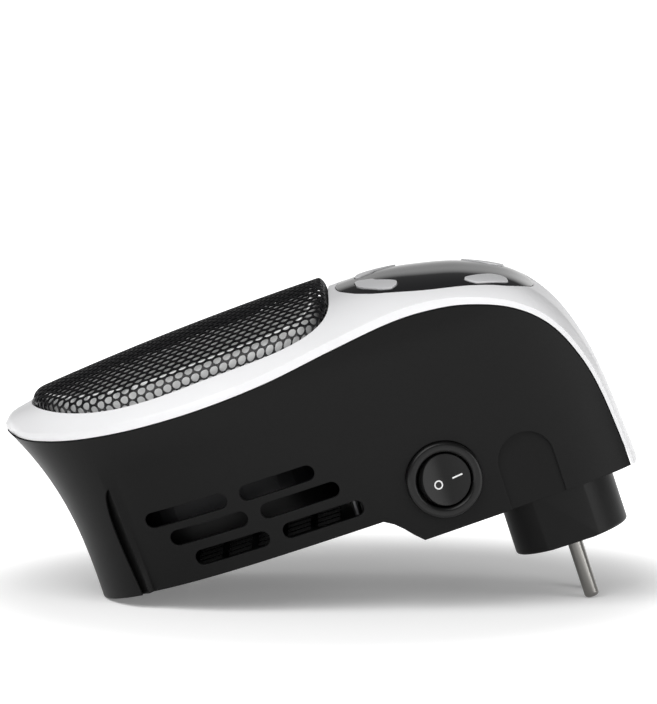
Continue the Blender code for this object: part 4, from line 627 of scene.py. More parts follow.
def under_seam(name, drop, below=0.0):
    """A prism under the seam, lowered along the seam's normal."""
    seam = []
    for run in np.linspace(0.0, CROWN_RUN, SEAM_STEPS):
        low, rim = at_run("seam", run), at_run("rim", run)
        outward = (rim - low) / np.linalg.norm(rim - low)
        point = low - outward * drop
        if point[1] > -PLUG_STEP:
            seam.append(tuple(point))
    side = RING_WIDTH / 2 + OVERRUN
    tail = -TAIL_OVERHANG - OVERRUN
    step = [(x, level - below) for x, level in step_line(0.0)]
    outline = [(tail, -below), *step, (seam[-1][0], -PLUG_STEP - below), *reversed(seam), (tail, seam[0][1])]
    return prism(name, outline, -side, side)


# Surface effects, as shader node groups


def add_node(tree, kind, inputs=None, **settings):
    """A node with its settings; each input takes a value, or the socket that feeds it."""
    node = tree.nodes.new("ShaderNode" + kind)
    for key, value in settings.items():
        setattr(node, key, value)
    for key, value in (inputs or {}).items():
        if isinstance(value, bpy.types.NodeSocket):
            tree.links.new(value, node.inputs[key])
        else:
            node.inputs[key].default_value = value
    return node


def moulded_group():
    """The faint unevenness of a real surface: a mottle of colour and roughness, and a fine grain for height."""
    group = bpy.data.node_groups.new("Moulded surface", "ShaderNodeTree")
    for label, kind, value in (
        ("Mottle Size", "Float", 60.0), ("Grain Size", "Float", 1800.0), ("Roughness", "Float", 0.4),
        ("Variation", "Float", 0.05), ("Colour", "Color", (0.5, 0.5, 0.5, 1.0)), ("Tint Variation", "Float", 0.06),
    ):
        socket = group.interface.new_socket(name=label, in_out="INPUT", socket_type="NodeSocket" + kind)
        socket.default_value = value
    for label, kind in (("Colour", "Color"), ("Roughness", "Float"), ("Height", "Float")):
        group.interface.new_socket(name=label, in_out="OUTPUT", socket_type="NodeSocket" + kind)
    entry, leave = group.nodes.new("NodeGroupInput").outputs, group.nodes.new("NodeGroupOutput").inputs
    place = add_node(group, "TexCoord").outputs["Object"]
    mottle = add_node(group, "TexNoise", {"Vector": place, "Scale": entry["Mottle Size"], "Detail": 3.0})
    grain = add_node(group, "TexNoise", {"Vector": place, "Scale": entry["Grain Size"], "Detail": 1.0})
    centred = add_node(group, "Math", {0: mottle.outputs["Fac"], 1: 0.5}, operation="SUBTRACT").outputs[0]
    uneven = {0: centred, 1: entry["Variation"], 2: entry["Roughness"]}
    uneven = add_node(group, "Math", uneven, operation="MULTIPLY_ADD").outputs[0]
    tint = {0: centred, 1: entry["Tint Variation"], 2: 1.0}
    tint = add_node(group, "Math", tint, operation="MULTIPLY_ADD").outputs[0]
    tinted = add_node(group, "VectorMath", {0: entry["Colour"], "Scale": tint}, operation="SCALE").outputs[0]
    for label, socket in (("Colour", tinted), ("Roughness", uneven), ("Height", grain.outputs["Fac"])):
        group.links.new(socket, leave[label])
    return group


def plain_material(name, colour, roughness, specular, metallic=0.0):
    material = bpy.data.materials.new(name)
    material.use_nodes = True
    shader = material.node_tree.nodes["Principled BSDF"].inputs
    shader["Base Color"].default_value = (*colour, 1.0)
    shader["Roughness"].default_value = roughness
    shader["Metallic"].default_value = metallic
    shader["Specular IOR Level"].default_value = specular
    material.diffuse_color = (*colour, 1.0)
    return material


def moulded_material(name, colour):
    """A finish with the moulded unevenness, and edges rounded in its shading."""
    roughness, variation, grain, edge, specular = FINISHES[name]
    material = plain_material(name, colour, roughness, specular, float(name in METALS))
    tree = material.node_tree
    surface = add_node(
        tree, "Group", {"Roughness": roughness, "Variation": variation, "Colour": (*colour, 1.0)},
        node_tree=bpy.data.node_groups.get("Moulded surface") or moulded_group(),
    ).outputs
    relief = {"Strength": grain, "Distance": GRAIN_HEIGHT, "Height": surface["Height"]}
    if edge:
        relief["Normal"] = add_node(tree, "Bevel", {"Radius": edge}, samples=EDGE_SAMPLES).outputs["Normal"]
    shader = tree.nodes["Principled BSDF"].inputs
    tree.links.new(surface["Colour"], shader["Base Color"])
    tree.links.new(surface["Roughness"], shader["Roughness"])
    tree.links.new(add_node(tree, "Bump", relief).outputs["Normal"], shader["Normal"])
    return material


# Housing


def slot_cutters():
    radius, outer = SLOT_HEIGHT / 2, RING_WIDTH / 2 + OVERRUN
    for level, *spans in SLOT_ROWS:
        for start, end in spans:
            outline = arc((end - radius, level), radius, -90, 90, SLOT_ARC_STEPS)
            outline += arc((start + radius, level), radius, 90, 270, SLOT_ARC_STEPS)
            inner = min(half_width(start, level), half_width(end, level)) - SLOT_DEPTH
            for low, high in ((inner, outer), (-outer, -inner)):
                yield prism("slot", outline, low, high)


def grip_cutter(side):
    radius = GRIP_WIDTH / 2
    floor_level = -PLUG_STEP - OVERRUN
    bow = arc((0.0, GRIP_APEX - radius), radius, 0, 180, GRIP_ARC_STEPS)
    outline = [(radius, floor_level), *bow, (-radius, floor_level)]
    cutter = prism("grip", outline, 0.0, RING_WIDTH / 2)
    place = Matrix.Translation((GRIP_X, side * (half_width(GRIP_X, 0.0) - GRIP_DEPTH), 0.0))
    turn = Matrix.Rotation(math.radians(-GRIP_SLANT_DEG), 4, "Z")
    flip = Matrix.Scale(side, 4, Vector((0, 1, 0)))
    cutter.data.transform(place @ flip @ turn)
    return faces_out(cutter)


def groove_solid(name, side, spread=0.0):
    """A leaf-shaped groove along the scoop's crease, deepest at its tail edge; spread all round, its backing."""
    loops = []
    low_share, growth, tip_share = GROOVE_ENDS
    outer = RING_WIDTH / 2 + OVERRUN
    for level in np.linspace(-OVERRUN, GROOVE_TOP + spread, GROOVE_STEPS):
        share = min(max(level / GROOVE_TOP, 0.0), 1.0)
        size = max(math.sqrt(1 - share**3) * (low_share + growth * share), tip_share)
        crease = SCOOP_X - SCOOP_LEAN * scoop_share(level) + GROOVE_SHIFT
        start = crease - GROOVE_WIDTH * size - spread
        end = crease + spread
        deep = half_width(start, level) - GROOVE_DEPTH * size - spread
        shallow = half_width(end, level) - GROOVE_DEPTH * size / GROOVE_SHALLOWING - spread
        loop = ((start, outer), (start, deep), (end, shallow), (end, outer))
        loops.append([(x, side * y, level) for x, y in loop])
    return lofted(name, loops)


def switch_frame():
    """The switch's place in the near wall: its Z axis points out of the wall and its Y axis along +Z."""
    step = SWITCH_BODY_R
    width = half_width(SWITCH_X, SWITCH_Z)
    slope = (half_width(SWITCH_X + step, SWITCH_Z) - half_width(SWITCH_X - step, SWITCH_Z)) / (2 * step)
    outward = Vector((-slope, -1.0, 0.0)).normalized()
    up = Vector((0.0, 0.0, 1.0))
    rows = Matrix((up.cross(outward), up, outward)).transposed().to_4x4()
    return Matrix.Translation((SWITCH_X, -width, SWITCH_Z)) @ rows


def make_housing(settings):
    shell = envelope("housing_case", 0.0)
    combine(shell, under_seam("under_seam", CLEARANCE), "INTERSECT")
    hollow = envelope("hollow", HOUSING_WALL)
    low, high = -OVERRUN, BODY_HEIGHT
    tail, reach = -TAIL_OVERHANG - OVERRUN, HEAD_X + OVERRUN
    outline = [(tail, low), (VENT_END_X - HOUSING_WALL, low), *step_line(HOUSING_WALL)]
    outline += [(reach, HOUSING_WALL - PLUG_STEP), (reach, high), (tail, high)]
    combine(hollow, prism("hollow_profile", outline, -RING_WIDTH / 2, RING_WIDTH / 2), "INTERSECT")
    cut(hollow, *(groove_solid("groove_backing", side, GROOVE_BACKING) for side in (-1, 1)))
    cut(shell, hollow)
    cut(shell, *slot_cutters())
    cut(shell, grip_cutter(-1), grip_cutter(1), *(groove_solid("groove", side) for side in (-1, 1)))
    span = (-PLUG_STEP - OVERRUN, OVERRUN - PLUG_STEP)
    cut(shell, rod("plug_hole", PLUG_R + CLEARANCE, *span, (PLUG_X, 0.0), PLUG_HOLE_SIDES))
    body, bezel = SWITCH_BODY_R + CLEARANCE, SWITCH_BEZEL_R + CLEARANCE
    profile = ((0.0, -OVERRUN), (body, -OVERRUN), (body, 0.0), (bezel, 0.0), (bezel, OVERRUN), (0.0, OVERRUN))
    seat = turned("switch_seat", profile, SWITCH_SEAT_SIDES)
    seat.data.transform(switch_frame())
    cut(shell, faces_out(seat))
    material = moulded_material("Housing plastic", settings.housing_colour)
    finish(shell, "heater", ("rear_housing",), material)


# Cover


def grille_reach(angle, inset=0.0):
    ahead = math.cos(angle) > 0
    length = (GRILLE_HEAD_LENGTH if ahead else GRILLE_TAIL_LENGTH) - inset
    width = GRILLE_HALF_WIDTH - inset
    power = GRILLE_HEAD_ROUNDNESS if ahead else GRILLE_TAIL_ROUNDNESS
    return (abs(math.cos(angle) / length) ** power + abs(math.sin(angle) / width) ** power) ** (-1 / power)


def grille_place(angle, inset=0.0):
    reach = grille_reach(angle, inset)
    return run_at(GRILLE_CENTRE_X + reach * math.cos(angle)), reach * math.sin(angle)


def edge_loop():
    """The cover's edge as (run, across, end) places, round from the middle of the tail."""
    tail_width, head_width = at_run("width", 0.0), at_run("width", CROWN_RUN)
    half = [(0.0, tail_width * step / COVER_END_STEPS, "tail") for step in range(COVER_END_STEPS)]
    for step in range(COVER_SIDE_STEPS + 1):
        run = CROWN_RUN * (1 - math.cos(math.pi * step / COVER_SIDE_STEPS)) / 2
        half.append((run, at_run("width", run), "side"))
    for step in range(1, COVER_HEAD_STEPS + 1):
        half.append((CROWN_RUN, head_width * (1 - step / COVER_HEAD_STEPS), "head"))
    return half + [(run, -across, end) for run, across, end in reversed(half[1:-1])]


def skirt_point(place, corner):
    run, _, end = place
    seam, rim = at_run("seam", run), at_run("rim", run)
    if end != "side" or seam[0] < WIDEST_X:
        return (corner[0], corner[1], min(corner[2], seam[1]) - SKIRT)
    outward = (rim - seam) / np.linalg.norm(rim - seam)
    x, level = seam - outward * SKIRT
    return (x, corner[1], level)


def cover_loops(edge, wall):
    """Rings of points from the skirt over the edge to the grille's opening, at a depth under the crown."""
    centre, scale = run_at(GRILLE_CENTRE_X), 1 - 2 * wall / CROWN_RUN
    inner = [(wall + run * scale, across * (1 - wall / at_run("width", run))) for run, across, _ in edge]
    loops = []
    for ring in range(COVER_RINGS + 1):
        share = (ring / COVER_RINGS) ** COVER_RING_POWER
        loop = []
        for run, across in inner:
            angle = math.atan2(across, run - centre)
            end_run, end_across = grille_place(angle, -GRILLE_GAP)
            place = (run + (end_run - run) * share, across + (end_across - across) * share)
            loop.append(tuple(crown_point(*place, -wall)))
        loops.append(loop)
    return [[skirt_point(place, corner) for place, corner in zip(edge, loops[0])], *loops]


def make_cover(settings):
    edge = edge_loop()
    loops = cover_loops(edge, 0.0) + list(reversed(cover_loops(edge, COVER_WALL)))
    cover = lofted("cover_moulding", loops + loops[:1], closed=False)
    cut(cover, under_seam("under_cover", 0.0, OVERRUN))
    base = (2 * RING_WIDTH, 2 * RING_WIDTH, RING_WIDTH)
    cut(cover, block("under_base", base, (HEAD_X, 0.0, -PLUG_STEP - RING_WIDTH / 2)))
    cut(cover, crown_patch("panel_cut", panel_outline(CLEARANCE), PANEL_WALL, PANEL_CUT_DEPTH))
    material = moulded_material("Cover gloss", settings.cover_colour)
    finish(cover, "heater", ("front_cover",), material, smooth_deg=COVER_SMOOTH_DEG)


# Panel and buttons


def round_outline(points, cuts):
    table = [np.array(point) for point in points]
    count = len(table)
    ring = [table[(index - 1) % count] for index in range(count + 4)]
    return [tuple(spline(ring, index + 1 + step / cuts)) for index in range(count) for step in range(cuts)]


def grown(outline, amount):
    """The outline moved outwards by an amount all round."""
    pairs = [(outline[index - 1], outline[index]) for index in range(len(outline))]
    area = sum(before[0] * after[1] - after[0] * before[1] for before, after in pairs)
    move = amount if area > 0 else -amount
    points = []
    for index, (x, y) in enumerate(outline):
        before, after = outline[index - 1], outline[(index + 1) % len(outline)]
        run, rise = after[0] - before[0], after[1] - before[1]
        size = math.hypot(run, rise)
        points.append((x + move * rise / size, y - move * run / size))
    return points


def crown_outline(shares, cuts, growth):
    """A rounded (run, across) outline from shares of the panel's length and half width."""
    places = [(PANEL_START_X + along * PANEL_LENGTH, across * PANEL_HALF_WIDTH) for along, across in shares]
    outline = round_outline([(run_at(x), y) for x, y in places], cuts)
    return grown(outline, growth) if growth else outline


def panel_outline(growth=0.0):
    return crown_outline(mirrored(list(PANEL_OUTLINE_SHARES)), PANEL_CUTS, growth)


def button_outline(shares, side, growth=0.0):
    return crown_outline([(along, side * across) for along, across in shares], BUTTON_CUTS, growth)


def crown_patch(name, outline, above, below, rings=PATCH_RINGS):
    """A closed slab that follows the crown inside an outline, from above its surface to below it."""
    centre = np.mean(np.array(outline), axis=0)
    shares = [ring / rings for ring in range(rings, 0, -1)]
    loops = []
    for level, order in ((above, reversed(shares)), (-below, shares)):
        for share in order:
            places = [centre + (np.array(place) - centre) * share for place in outline]
            loops.append([tuple(crown_point(run, across, level)) for run, across in places])
    return lofted(name, loops)


def make_panel(settings):
    panel = crown_patch("touch_panel", panel_outline(), 0.0, PANEL_WALL, PANEL_RINGS)
    for _, _, shares, side in BUTTONS:
        cut(panel, crown_patch("button_hole", button_outline(shares, side, CLEARANCE), PANEL_WALL, PANEL_CUT_DEPTH))
    material = moulded_material("Panel gloss", settings.panel_colour)
    finish(panel, "heater", ("control_panel",), material)
    silver = moulded_material("Button silver", settings.button_colour)
    edge = {"width": BUTTON_EDGE, "segments": BUTTON_EDGE_STEPS, "limit_method": "ANGLE"}
    for node, body, shares, side in BUTTONS:
        cap = crown_patch(node + "_cap", button_outline(shares, side), BUTTON_PROUD, PANEL_WALL + CLEARANCE)
        apply_modifier(cap, "edge", "BEVEL", angle_limit=math.radians(BUTTON_EDGE_DEG), **edge)
        finish(cap, body, (node,), silver)


# Grille


def shoulder_width(angle):
    end = max(math.cos(angle), 0.0) ** GRILLE_END_POWER
    return GRILLE_SHOULDER + (GRILLE_END_SHOULDER - GRILLE_SHOULDER) * end


def dome_level(x, y):
    along = (x - GRILLE_CENTRE_X) / GRILLE_HEAD_LENGTH
    across = y / GRILLE_HALF_WIDTH
    return GRILLE_DOME_LEVEL + GRILLE_DOME_RISE * along - GRILLE_END_SAG * along**2 - GRILLE_SIDE_SAG * across**2


def grille_ray(angle):
    """The drawn sheet's points in one direction of the plan, and where each of them lay on the flat sheet."""
    shoulder = shoulder_width(angle)
    start = grille_reach(angle, shoulder)
    points = []
    for share in np.linspace(0.0, 1.0, RAY_STEPS, endpoint=False):
        x, y = GRILLE_CENTRE_X + math.cos(angle) * start * share, math.sin(angle) * start * share
        points.append((x, y, dome_level(x, y)))
    base = crown_surface(*grille_place(angle)).z
    for turn in np.linspace(0.0, math.pi / 2, RAY_STEPS):
        reach = grille_reach(angle, shoulder * (1 - math.sin(turn)))
        x, y = GRILLE_CENTRE_X + math.cos(angle) * reach, math.sin(angle) * reach
        points.append((x, y, base + (dome_level(x, y) - base) * math.cos(turn)))
    x, y, level = points[-1]
    points.append((x, y, level - GRILLE_SINK))
    points = np.array(points)
    lengths = np.concatenate([[0.0], np.cumsum(np.linalg.norm(np.diff(points, axis=0), axis=1))])
    return points, lengths * grille_reach(angle) / lengths[-2]


def grille_cell(pitch, radius):
    """One hexagon of the sheet, drawn with twelve points, and the round hole in it."""
    corner = pitch / math.sqrt(3)
    bpy.ops.mesh.primitive_circle_add(vertices=CELL_SIDES, radius=corner, fill_type="NGON")
    cell = bpy.context.object
    cell.name = "grille_sheet"
    for vertex in cell.data.vertices:
        angle = math.atan2(vertex.co.y, vertex.co.x)
        reach = corner if round(angle * CELL_SIDES / math.tau) % 2 else pitch / 2
        vertex.co = (reach * math.cos(angle), reach * math.sin(angle), 0.0)
    with edited(cell):
        bpy.ops.mesh.inset(thickness=(pitch / 2 - radius) * CELL_INSET_SHARE)
        bpy.ops.mesh.delete(type="ONLY_FACE")
    for vertex in cell.data.vertices[CELL_SIDES:]:
        angle = math.atan2(vertex.co.y, vertex.co.x)
        vertex.co = (radius * math.cos(angle), radius * math.sin(angle), 0.0)
    return cell


def ray_place(x, y):
    return (math.atan2(y, x) % math.tau) / math.tau * RAYS


def drop_outer_cells(sheet, rays):
    """Deletes the faces that lie past the sheet's edge."""
    select_only(sheet)
    bpy.ops.object.mode_set(mode="EDIT")
    bpy.ops.mesh.select_all(action="DESELECT")
    bpy.ops.mesh.select_mode(type="FACE")
    bpy.ops.object.mode_set(mode="OBJECT")
    for face in sheet.data.polygons:
        x, y, _ = face.center
        _, lengths = rays[int(ray_place(x, y)) % RAYS]
        face.select = bool(math.hypot(x, y) > lengths[-1])
    bpy.ops.object.mode_set(mode="EDIT")
    bpy.ops.mesh.delete(type="FACE")
    bpy.ops.mesh.select_mode(type="VERT")
    bpy.ops.object.mode_set(mode="OBJECT")


def lay_on_dome(sheet, rays):
    """Moves each point of the flat sheet out along the two rays beside it."""
    for vertex in sheet.data.vertices:
        x, y, _ = vertex.co
        place, length = ray_place(x, y), math.hypot(x, y)
        share = place - int(place)
        ends = []
        for points, lengths in (rays[int(place) % RAYS], rays[(int(place) + 1) % RAYS]):
            ends.append(np.array([np.interp(length, lengths, points[:, axis]) for axis in range(3)]))
        vertex.co = Vector(ends[0] * (1 - share) + ends[1] * share)
    sheet.data.update()
    if sum(face.normal.z for face in sheet.data.polygons) < 0:
        sheet.data.flip_normals()


def make_grille(settings):
    """A sheet of hexagonal cells, each with its round hole, laid over the dome at an even pitch."""
    pitch = settings.hole_pitch
    row_pitch = pitch * math.sqrt(3)
    sheet = grille_cell(pitch, settings.hole_diameter / 2)
    rays = [grille_ray(math.tau * index / RAYS) for index in range(RAYS)]
    reach = max(lengths[-1] for _, lengths in rays) + pitch
    columns, rows = int(2 * reach / pitch) + 2, int(2 * reach / row_pitch) + 2
    copies = {"use_relative_offset": False, "use_constant_offset": True, "use_merge_vertices": True}
    copies["merge_threshold"] = pitch * CELL_MERGE_SHARE
    for name, count, offset in (
        ("pair", 2, (pitch / 2, row_pitch / 2, 0)), ("along", columns, (pitch, 0, 0)),
        ("across", rows, (0, row_pitch, 0)),
    ):
        apply_modifier(sheet, name, "ARRAY", count=count, constant_offset_displace=offset, **copies)
    shift = Vector((-pitch * (columns // 2), settings.hole_offset - row_pitch * (rows // 2), 0.0))
    sheet.data.transform(Matrix.Translation(shift))
    drop_outer_cells(sheet, rays)
    lay_on_dome(sheet, rays)
    apply_modifier(sheet, "wall", "SOLIDIFY", thickness=settings.sheet_wall, offset=-1.0)
    material = moulded_material("Grille paint", settings.grille_colour)
    finish(sheet, "heater", ("outlet_grille",), material, smooth_deg=GRILLE_SMOOTH_DEG)
    make_collar(settings)


def make_collar(settings):
    """The bright collar that shows through the holes, with the port that the heater's leads pass."""
    loops = []
    inner = COLLAR_INSET + COLLAR_WALL
    for inset, upper in ((COLLAR_INSET, False), (COLLAR_INSET, True), (inner, True), (inner, False)):
        loop = []
        for step in range(COLLAR_STEPS):
            angle = math.tau * step / COLLAR_STEPS
            reach = grille_reach(angle, inset)
            x, y = GRILLE_CENTRE_X + reach * math.cos(angle), reach * math.sin(angle)
            loop.append((x, y, dome_level(x, y) - COLLAR_DROP if upper else COLLAR_FOOT))
        loops.append(loop)
    collar = lofted("collar_sheet", loops + loops[:1], closed=False)
    length, width, height = COLLAR_PORT
    head_end = GRILLE_CENTRE_X + GRILLE_HEAD_LENGTH - COLLAR_INSET
    cut(collar, block("lead_port", (length, width, 2 * height), (head_end, 0.0, COLLAR_FOOT)))
    material = moulded_material("Collar sheet", settings.collar_colour)
    finish(collar, "heater", ("grille_collar",), material)


# Switch


def make_switch(settings):
    low, face = CLEARANCE, CLEARANCE + SWITCH_BEZEL_HEIGHT
    edge = SWITCH_BEZEL_HEIGHT / 2
    profile = [(0.0, -SWITCH_BODY_DEPTH), (SWITCH_BODY_R, -SWITCH_BODY_DEPTH), (SWITCH_BODY_R, low)]
    profile += [(SWITCH_BEZEL_R, low), *arc((SWITCH_BEZEL_R - edge, face - edge), edge, 0, 90, EDGE_ARC_STEPS)]
    profile += arc((SWITCH_OPENING_R + edge, face - edge), edge, 90, 180, EDGE_ARC_STEPS)
    profile += [(SWITCH_OPENING_R, -SWITCH_CAVITY_DEPTH), (0.0, -SWITCH_CAVITY_DEPTH)]
    bezel = turned("switch_bezel", profile, SWITCH_SIDES)
    bezel.data.transform(switch_frame())
    material = moulded_material("Switch plastic", settings.housing_colour)
    finish(bezel, "heater", ("switch_housing",), material)
    make_rocker(settings)


def make_rocker(settings):
    """A ball's front, hollowed across to the curve of the rocker's face."""
    bpy.ops.mesh.primitive_uv_sphere_add(segments=ROCKER_SIDES, ring_count=ROCKER_SIDES // 2, radius=ROCKER_R)
    rocker = bpy.context.object
    rocker.name = "rocker_cap"
    size = 4 * ROCKER_R
    cut(rocker, block("back", (size, size, size), (0.0, 0.0, -ROCKER_BACK - size / 2)))
    face_cut = rod("face", ROCKER_FACE_CURVE_R, -size, size, (0.0, 0.0), FACE_CURVE_SIDES)
    turn = Matrix.Rotation(math.pi / 2, 4, "X")
    face_cut.data.transform(Matrix.Translation((0.0, 0.0, ROCKER_FACE + ROCKER_FACE_CURVE_R)) @ turn)
    cut(rocker, face_cut)
    seat = switch_frame() @ Matrix.Translation((0.0, 0.0, ROCKER_PIVOT_DEPTH))
    seat = seat @ Matrix.Rotation(math.radians(ROCKER_TILT_DEG), 4, "Y")
    rocker.data.transform(seat)
    material = moulded_material("Rocker plastic", settings.housing_colour)
    finish(rocker, "rocker", ("switch_rocker",), material)
    make_marks(seat, settings)


def face_height(x):
    return ROCKER_FACE + ROCKER_FACE_CURVE_R - math.sqrt(ROCKER_FACE_CURVE_R**2 - x * x)


def make_marks(seat, settings):
    """The printed ring and bar on the rocker, each a thin raised layer on its hollow face."""
    ink = moulded_material("Mark ink", settings.mark_colour)
    around, across = OFF_MARK_STEPS
    bpy.ops.mesh.primitive_torus_add(
        location=(*OFF_MARK_PLACE, 0.0), major_radius=OFF_MARK_R, minor_radius=OFF_MARK_LINE_R,
        major_segments=around, minor_segments=across,
    )
    ring = bpy.context.object
    ring.name = "off_mark"
    bpy.ops.object.transform_apply(location=True, rotation=False, scale=False)
    bar = block("on_mark", ON_MARK_SIZE, (0.0, 0.0, 0.0))
    with edited(bar):
        bpy.ops.mesh.subdivide(number_cuts=MARK_CUTS)
    turn = Matrix.Rotation(math.radians(MARK_TURN_DEG), 4, "Z")
    bar.data.transform(Matrix.Translation((*ON_MARK_PLACE, 0.0)) @ turn)
    for mark in (ring, bar):
        for vertex in mark.data.vertices:
            vertex.co.z = face_height(vertex.co.x) + vertex.co.z * MARK_FLATTENING + MARK_LIFT
        mark.data.transform(seat)
        finish(mark, "rocker", (), ink)


# Plug and pins


def make_plug(settings):
    floor_top = HOUSING_WALL - PLUG_STEP + CLEARANCE
    flange_top = floor_top + PLUG_FLANGE_WALL
    stub_top = flange_top + PLUG_STUB_HEIGHT
    corner = (PLUG_R - PLUG_EDGE_R, PLUG_FACE_Z + PLUG_EDGE_R)
    profile = [(0.0, PLUG_FACE_Z), *arc(corner, PLUG_EDGE_R, -90, 0, PLUG_ARC_STEPS)]
    profile += [(PLUG_R, floor_top), (PLUG_FLANGE_R, floor_top), (PLUG_FLANGE_R, flange_top)]
    profile += [(PLUG_STUB_R, flange_top), (PLUG_STUB_R, stub_top), (0.0, stub_top)]
    plug = turned("plug_moulding", profile, PLUG_SIDES)
    low, high = PLUG_FACE_Z - OVERRUN, -PLUG_STEP
    for sign in (-1, 1):
        y = sign * (PLUG_R - NOTCH_DEPTH + PLUG_R / 2)
        cut(plug, block("notch", (NOTCH_WIDTH, PLUG_R, high - low), (0.0, y, (low + high) / 2)))
        place = (PIN_X - PLUG_X, sign * PIN_PITCH / 2)
        cut(plug, rod("pin_bore", PIN_R + CLEARANCE / 2, low, stub_top + OVERRUN, place, PIN_SIDES))
    plug.data.transform(Matrix.Translation((PLUG_X, 0.0, 0.0)))
    material = moulded_material("Plug plastic", settings.housing_colour)
    finish(plug, "heater", ("plug_body",), material)
    top, tip = stub_top + PIN_TAIL, PLUG_FACE_Z - PIN_LENGTH
    corner = (PIN_R - PIN_TIP_R, tip + PIN_TIP_R)
    profile = [(0.0, tip), *arc(corner, PIN_TIP_R, -90, 0, EDGE_ARC_STEPS), (PIN_R, top), (0.0, top)]
    nickel = moulded_material("Pin nickel", settings.pin_colour)
    for node, sign in (("pin_live", -1), ("pin_neutral", 1)):
        pin = turned(node + "_rod", profile, PIN_SIDES)
        pin.data.transform(Matrix.Translation((PIN_X, sign * PIN_PITCH / 2, 0.0)))
        finish(pin, "heater", (node,), nickel)


# Air guide under the fan


def make_air_guide(settings):
    """A thin ring that carries the fan's shroud on towards the intake, deeper on the far side."""
    inner, outer = SHROUD_R, SHROUD_R + SHROUD_WALL
    low = AIR_GUIDE_FAR_LOW
    profile = ((inner, low), (outer, low), (outer, SHROUD_BOTTOM), (inner, SHROUD_BOTTOM))
    guide = turned("air_guide", profile, SHROUD_SIDES, ring=True)
    reach, height = outer + OVERRUN, AIR_GUIDE_LOW - low + OVERRUN
    cut(guide, block("near_opening", (2 * reach, reach, height), (0.0, -reach / 2, AIR_GUIDE_LOW - height / 2)))
    guide.data.transform(Matrix.Translation((GRILLE_CENTRE_X, 0.0, 0.0)))
    finish(guide, "heater", (), moulded_material("Guide plastic", settings.housing_colour))


# Pieces that stay as the solids have them


def dress_nodes(settings):
    for name, kinds in INNER_PIECES.items():
        material = moulded_material(name, INNER_COLOURS.get(name, settings.housing_colour))
        for node in frame["nodes"]:
            if any(kind in node for kind in kinds):
                data = bpy.data.objects[node].data
                data.materials.clear()
                data.materials.append(material)


# Stage


def make_camera():
    elevation = math.radians(VIEW_ELEVATION_DEG)
    look = Vector((0.0, math.cos(elevation), -math.sin(elevation)))
    up = Vector((0.0, math.sin(elevation), math.cos(elevation)))
    right = Vector((1.0, 0.0, 0.0))
    shift_x = (VIEW_ANCHOR_PIXEL[0] - VIEW_SIZE[0] / 2) / VIEW_FOCAL_PIXELS * VIEW_DISTANCE
    shift_y = (VIEW_SIZE[1] / 2 - VIEW_ANCHOR_PIXEL[1]) / VIEW_FOCAL_PIXELS * VIEW_DISTANCE
    place = LEAN @ VIEW_ANCHOR - (look * VIEW_DISTANCE + right * shift_x + up * shift_y)
    camera = bpy.data.cameras.new("Studio camera")
    camera.sensor_fit = "VERTICAL"
    camera.sensor_height = SENSOR_HEIGHT
    camera.lens = SENSOR_HEIGHT * VIEW_FOCAL_PIXELS / VIEW_SIZE[1]
    camera.clip_end = CAMERA_REACH
    obj = bpy.data.objects.new("Studio camera", camera)
    obj.matrix_world = Matrix.Translation(place) @ Matrix((right, up, -look)).transposed().to_4x4()
    bpy.context.scene.collection.objects.link(obj)
    bpy.context.scene.camera = obj


def add_area(name, place, size, power):
    light = bpy.data.lights.new(name, "AREA")
    light.shape = "RECTANGLE"
    light.size, light.size_y = size
    light.energy = power
    obj = bpy.data.objects.new(name, light)
    aim = (Vector(LAMP_TARGET) - Vector(place)).to_track_quat("-Z", "Y")
    obj.matrix_world = Matrix.Translation(place) @ aim.to_matrix().to_4x4()
    bpy.context.scene.collection.objects.link(obj)


def seen_directly(tree):
    """One where a surface is seen by the camera, in a reflection or through glass, and zero where it lights."""
    path = add_node(tree, "LightPath").outputs
    total = path["Is Camera Ray"]
    for label in ("Is Glossy Ray", "Is Transmission Ray"):
        total = add_node(tree, "Math", {0: total, 1: path[label]}, operation="MAXIMUM").outputs[0]
    return total


def make_floor(settings):
    """White paper that keeps the shadow near the object and is seen as plain white away from it."""
    bpy.ops.mesh.primitive_plane_add(size=FLOOR_SIZE, location=(0.0, 0.0, 0.0))
    floor = bpy.context.object
    floor.name = "studio_floor"
    material = plain_material("Floor paper", settings.floor_colour, FLOOR_ROUGHNESS, 0.0)
    tree = material.node_tree
    place = add_node(tree, "TexCoord").outputs["Object"]
    fade = {"Value": add_node(tree, "VectorMath", {0: place}, operation="LENGTH").outputs["Value"]}
    fade.update({"From Min": settings.shadow_reach / 2, "From Max": settings.shadow_reach})
    fade.update({"To Min": settings.paper_glow, "To Max": 1.0})
    fade = add_node(tree, "MapRange", fade, interpolation_type="SMOOTHSTEP").outputs["Result"]
    glow = add_node(tree, "Math", {0: fade, 1: seen_directly(tree)}, operation="MULTIPLY").outputs[0]
    shader = tree.nodes["Principled BSDF"].inputs
    shader["Emission Color"].default_value = WHITE
    tree.links.new(glow, shader["Emission Strength"])
    floor.data.materials.append(material)


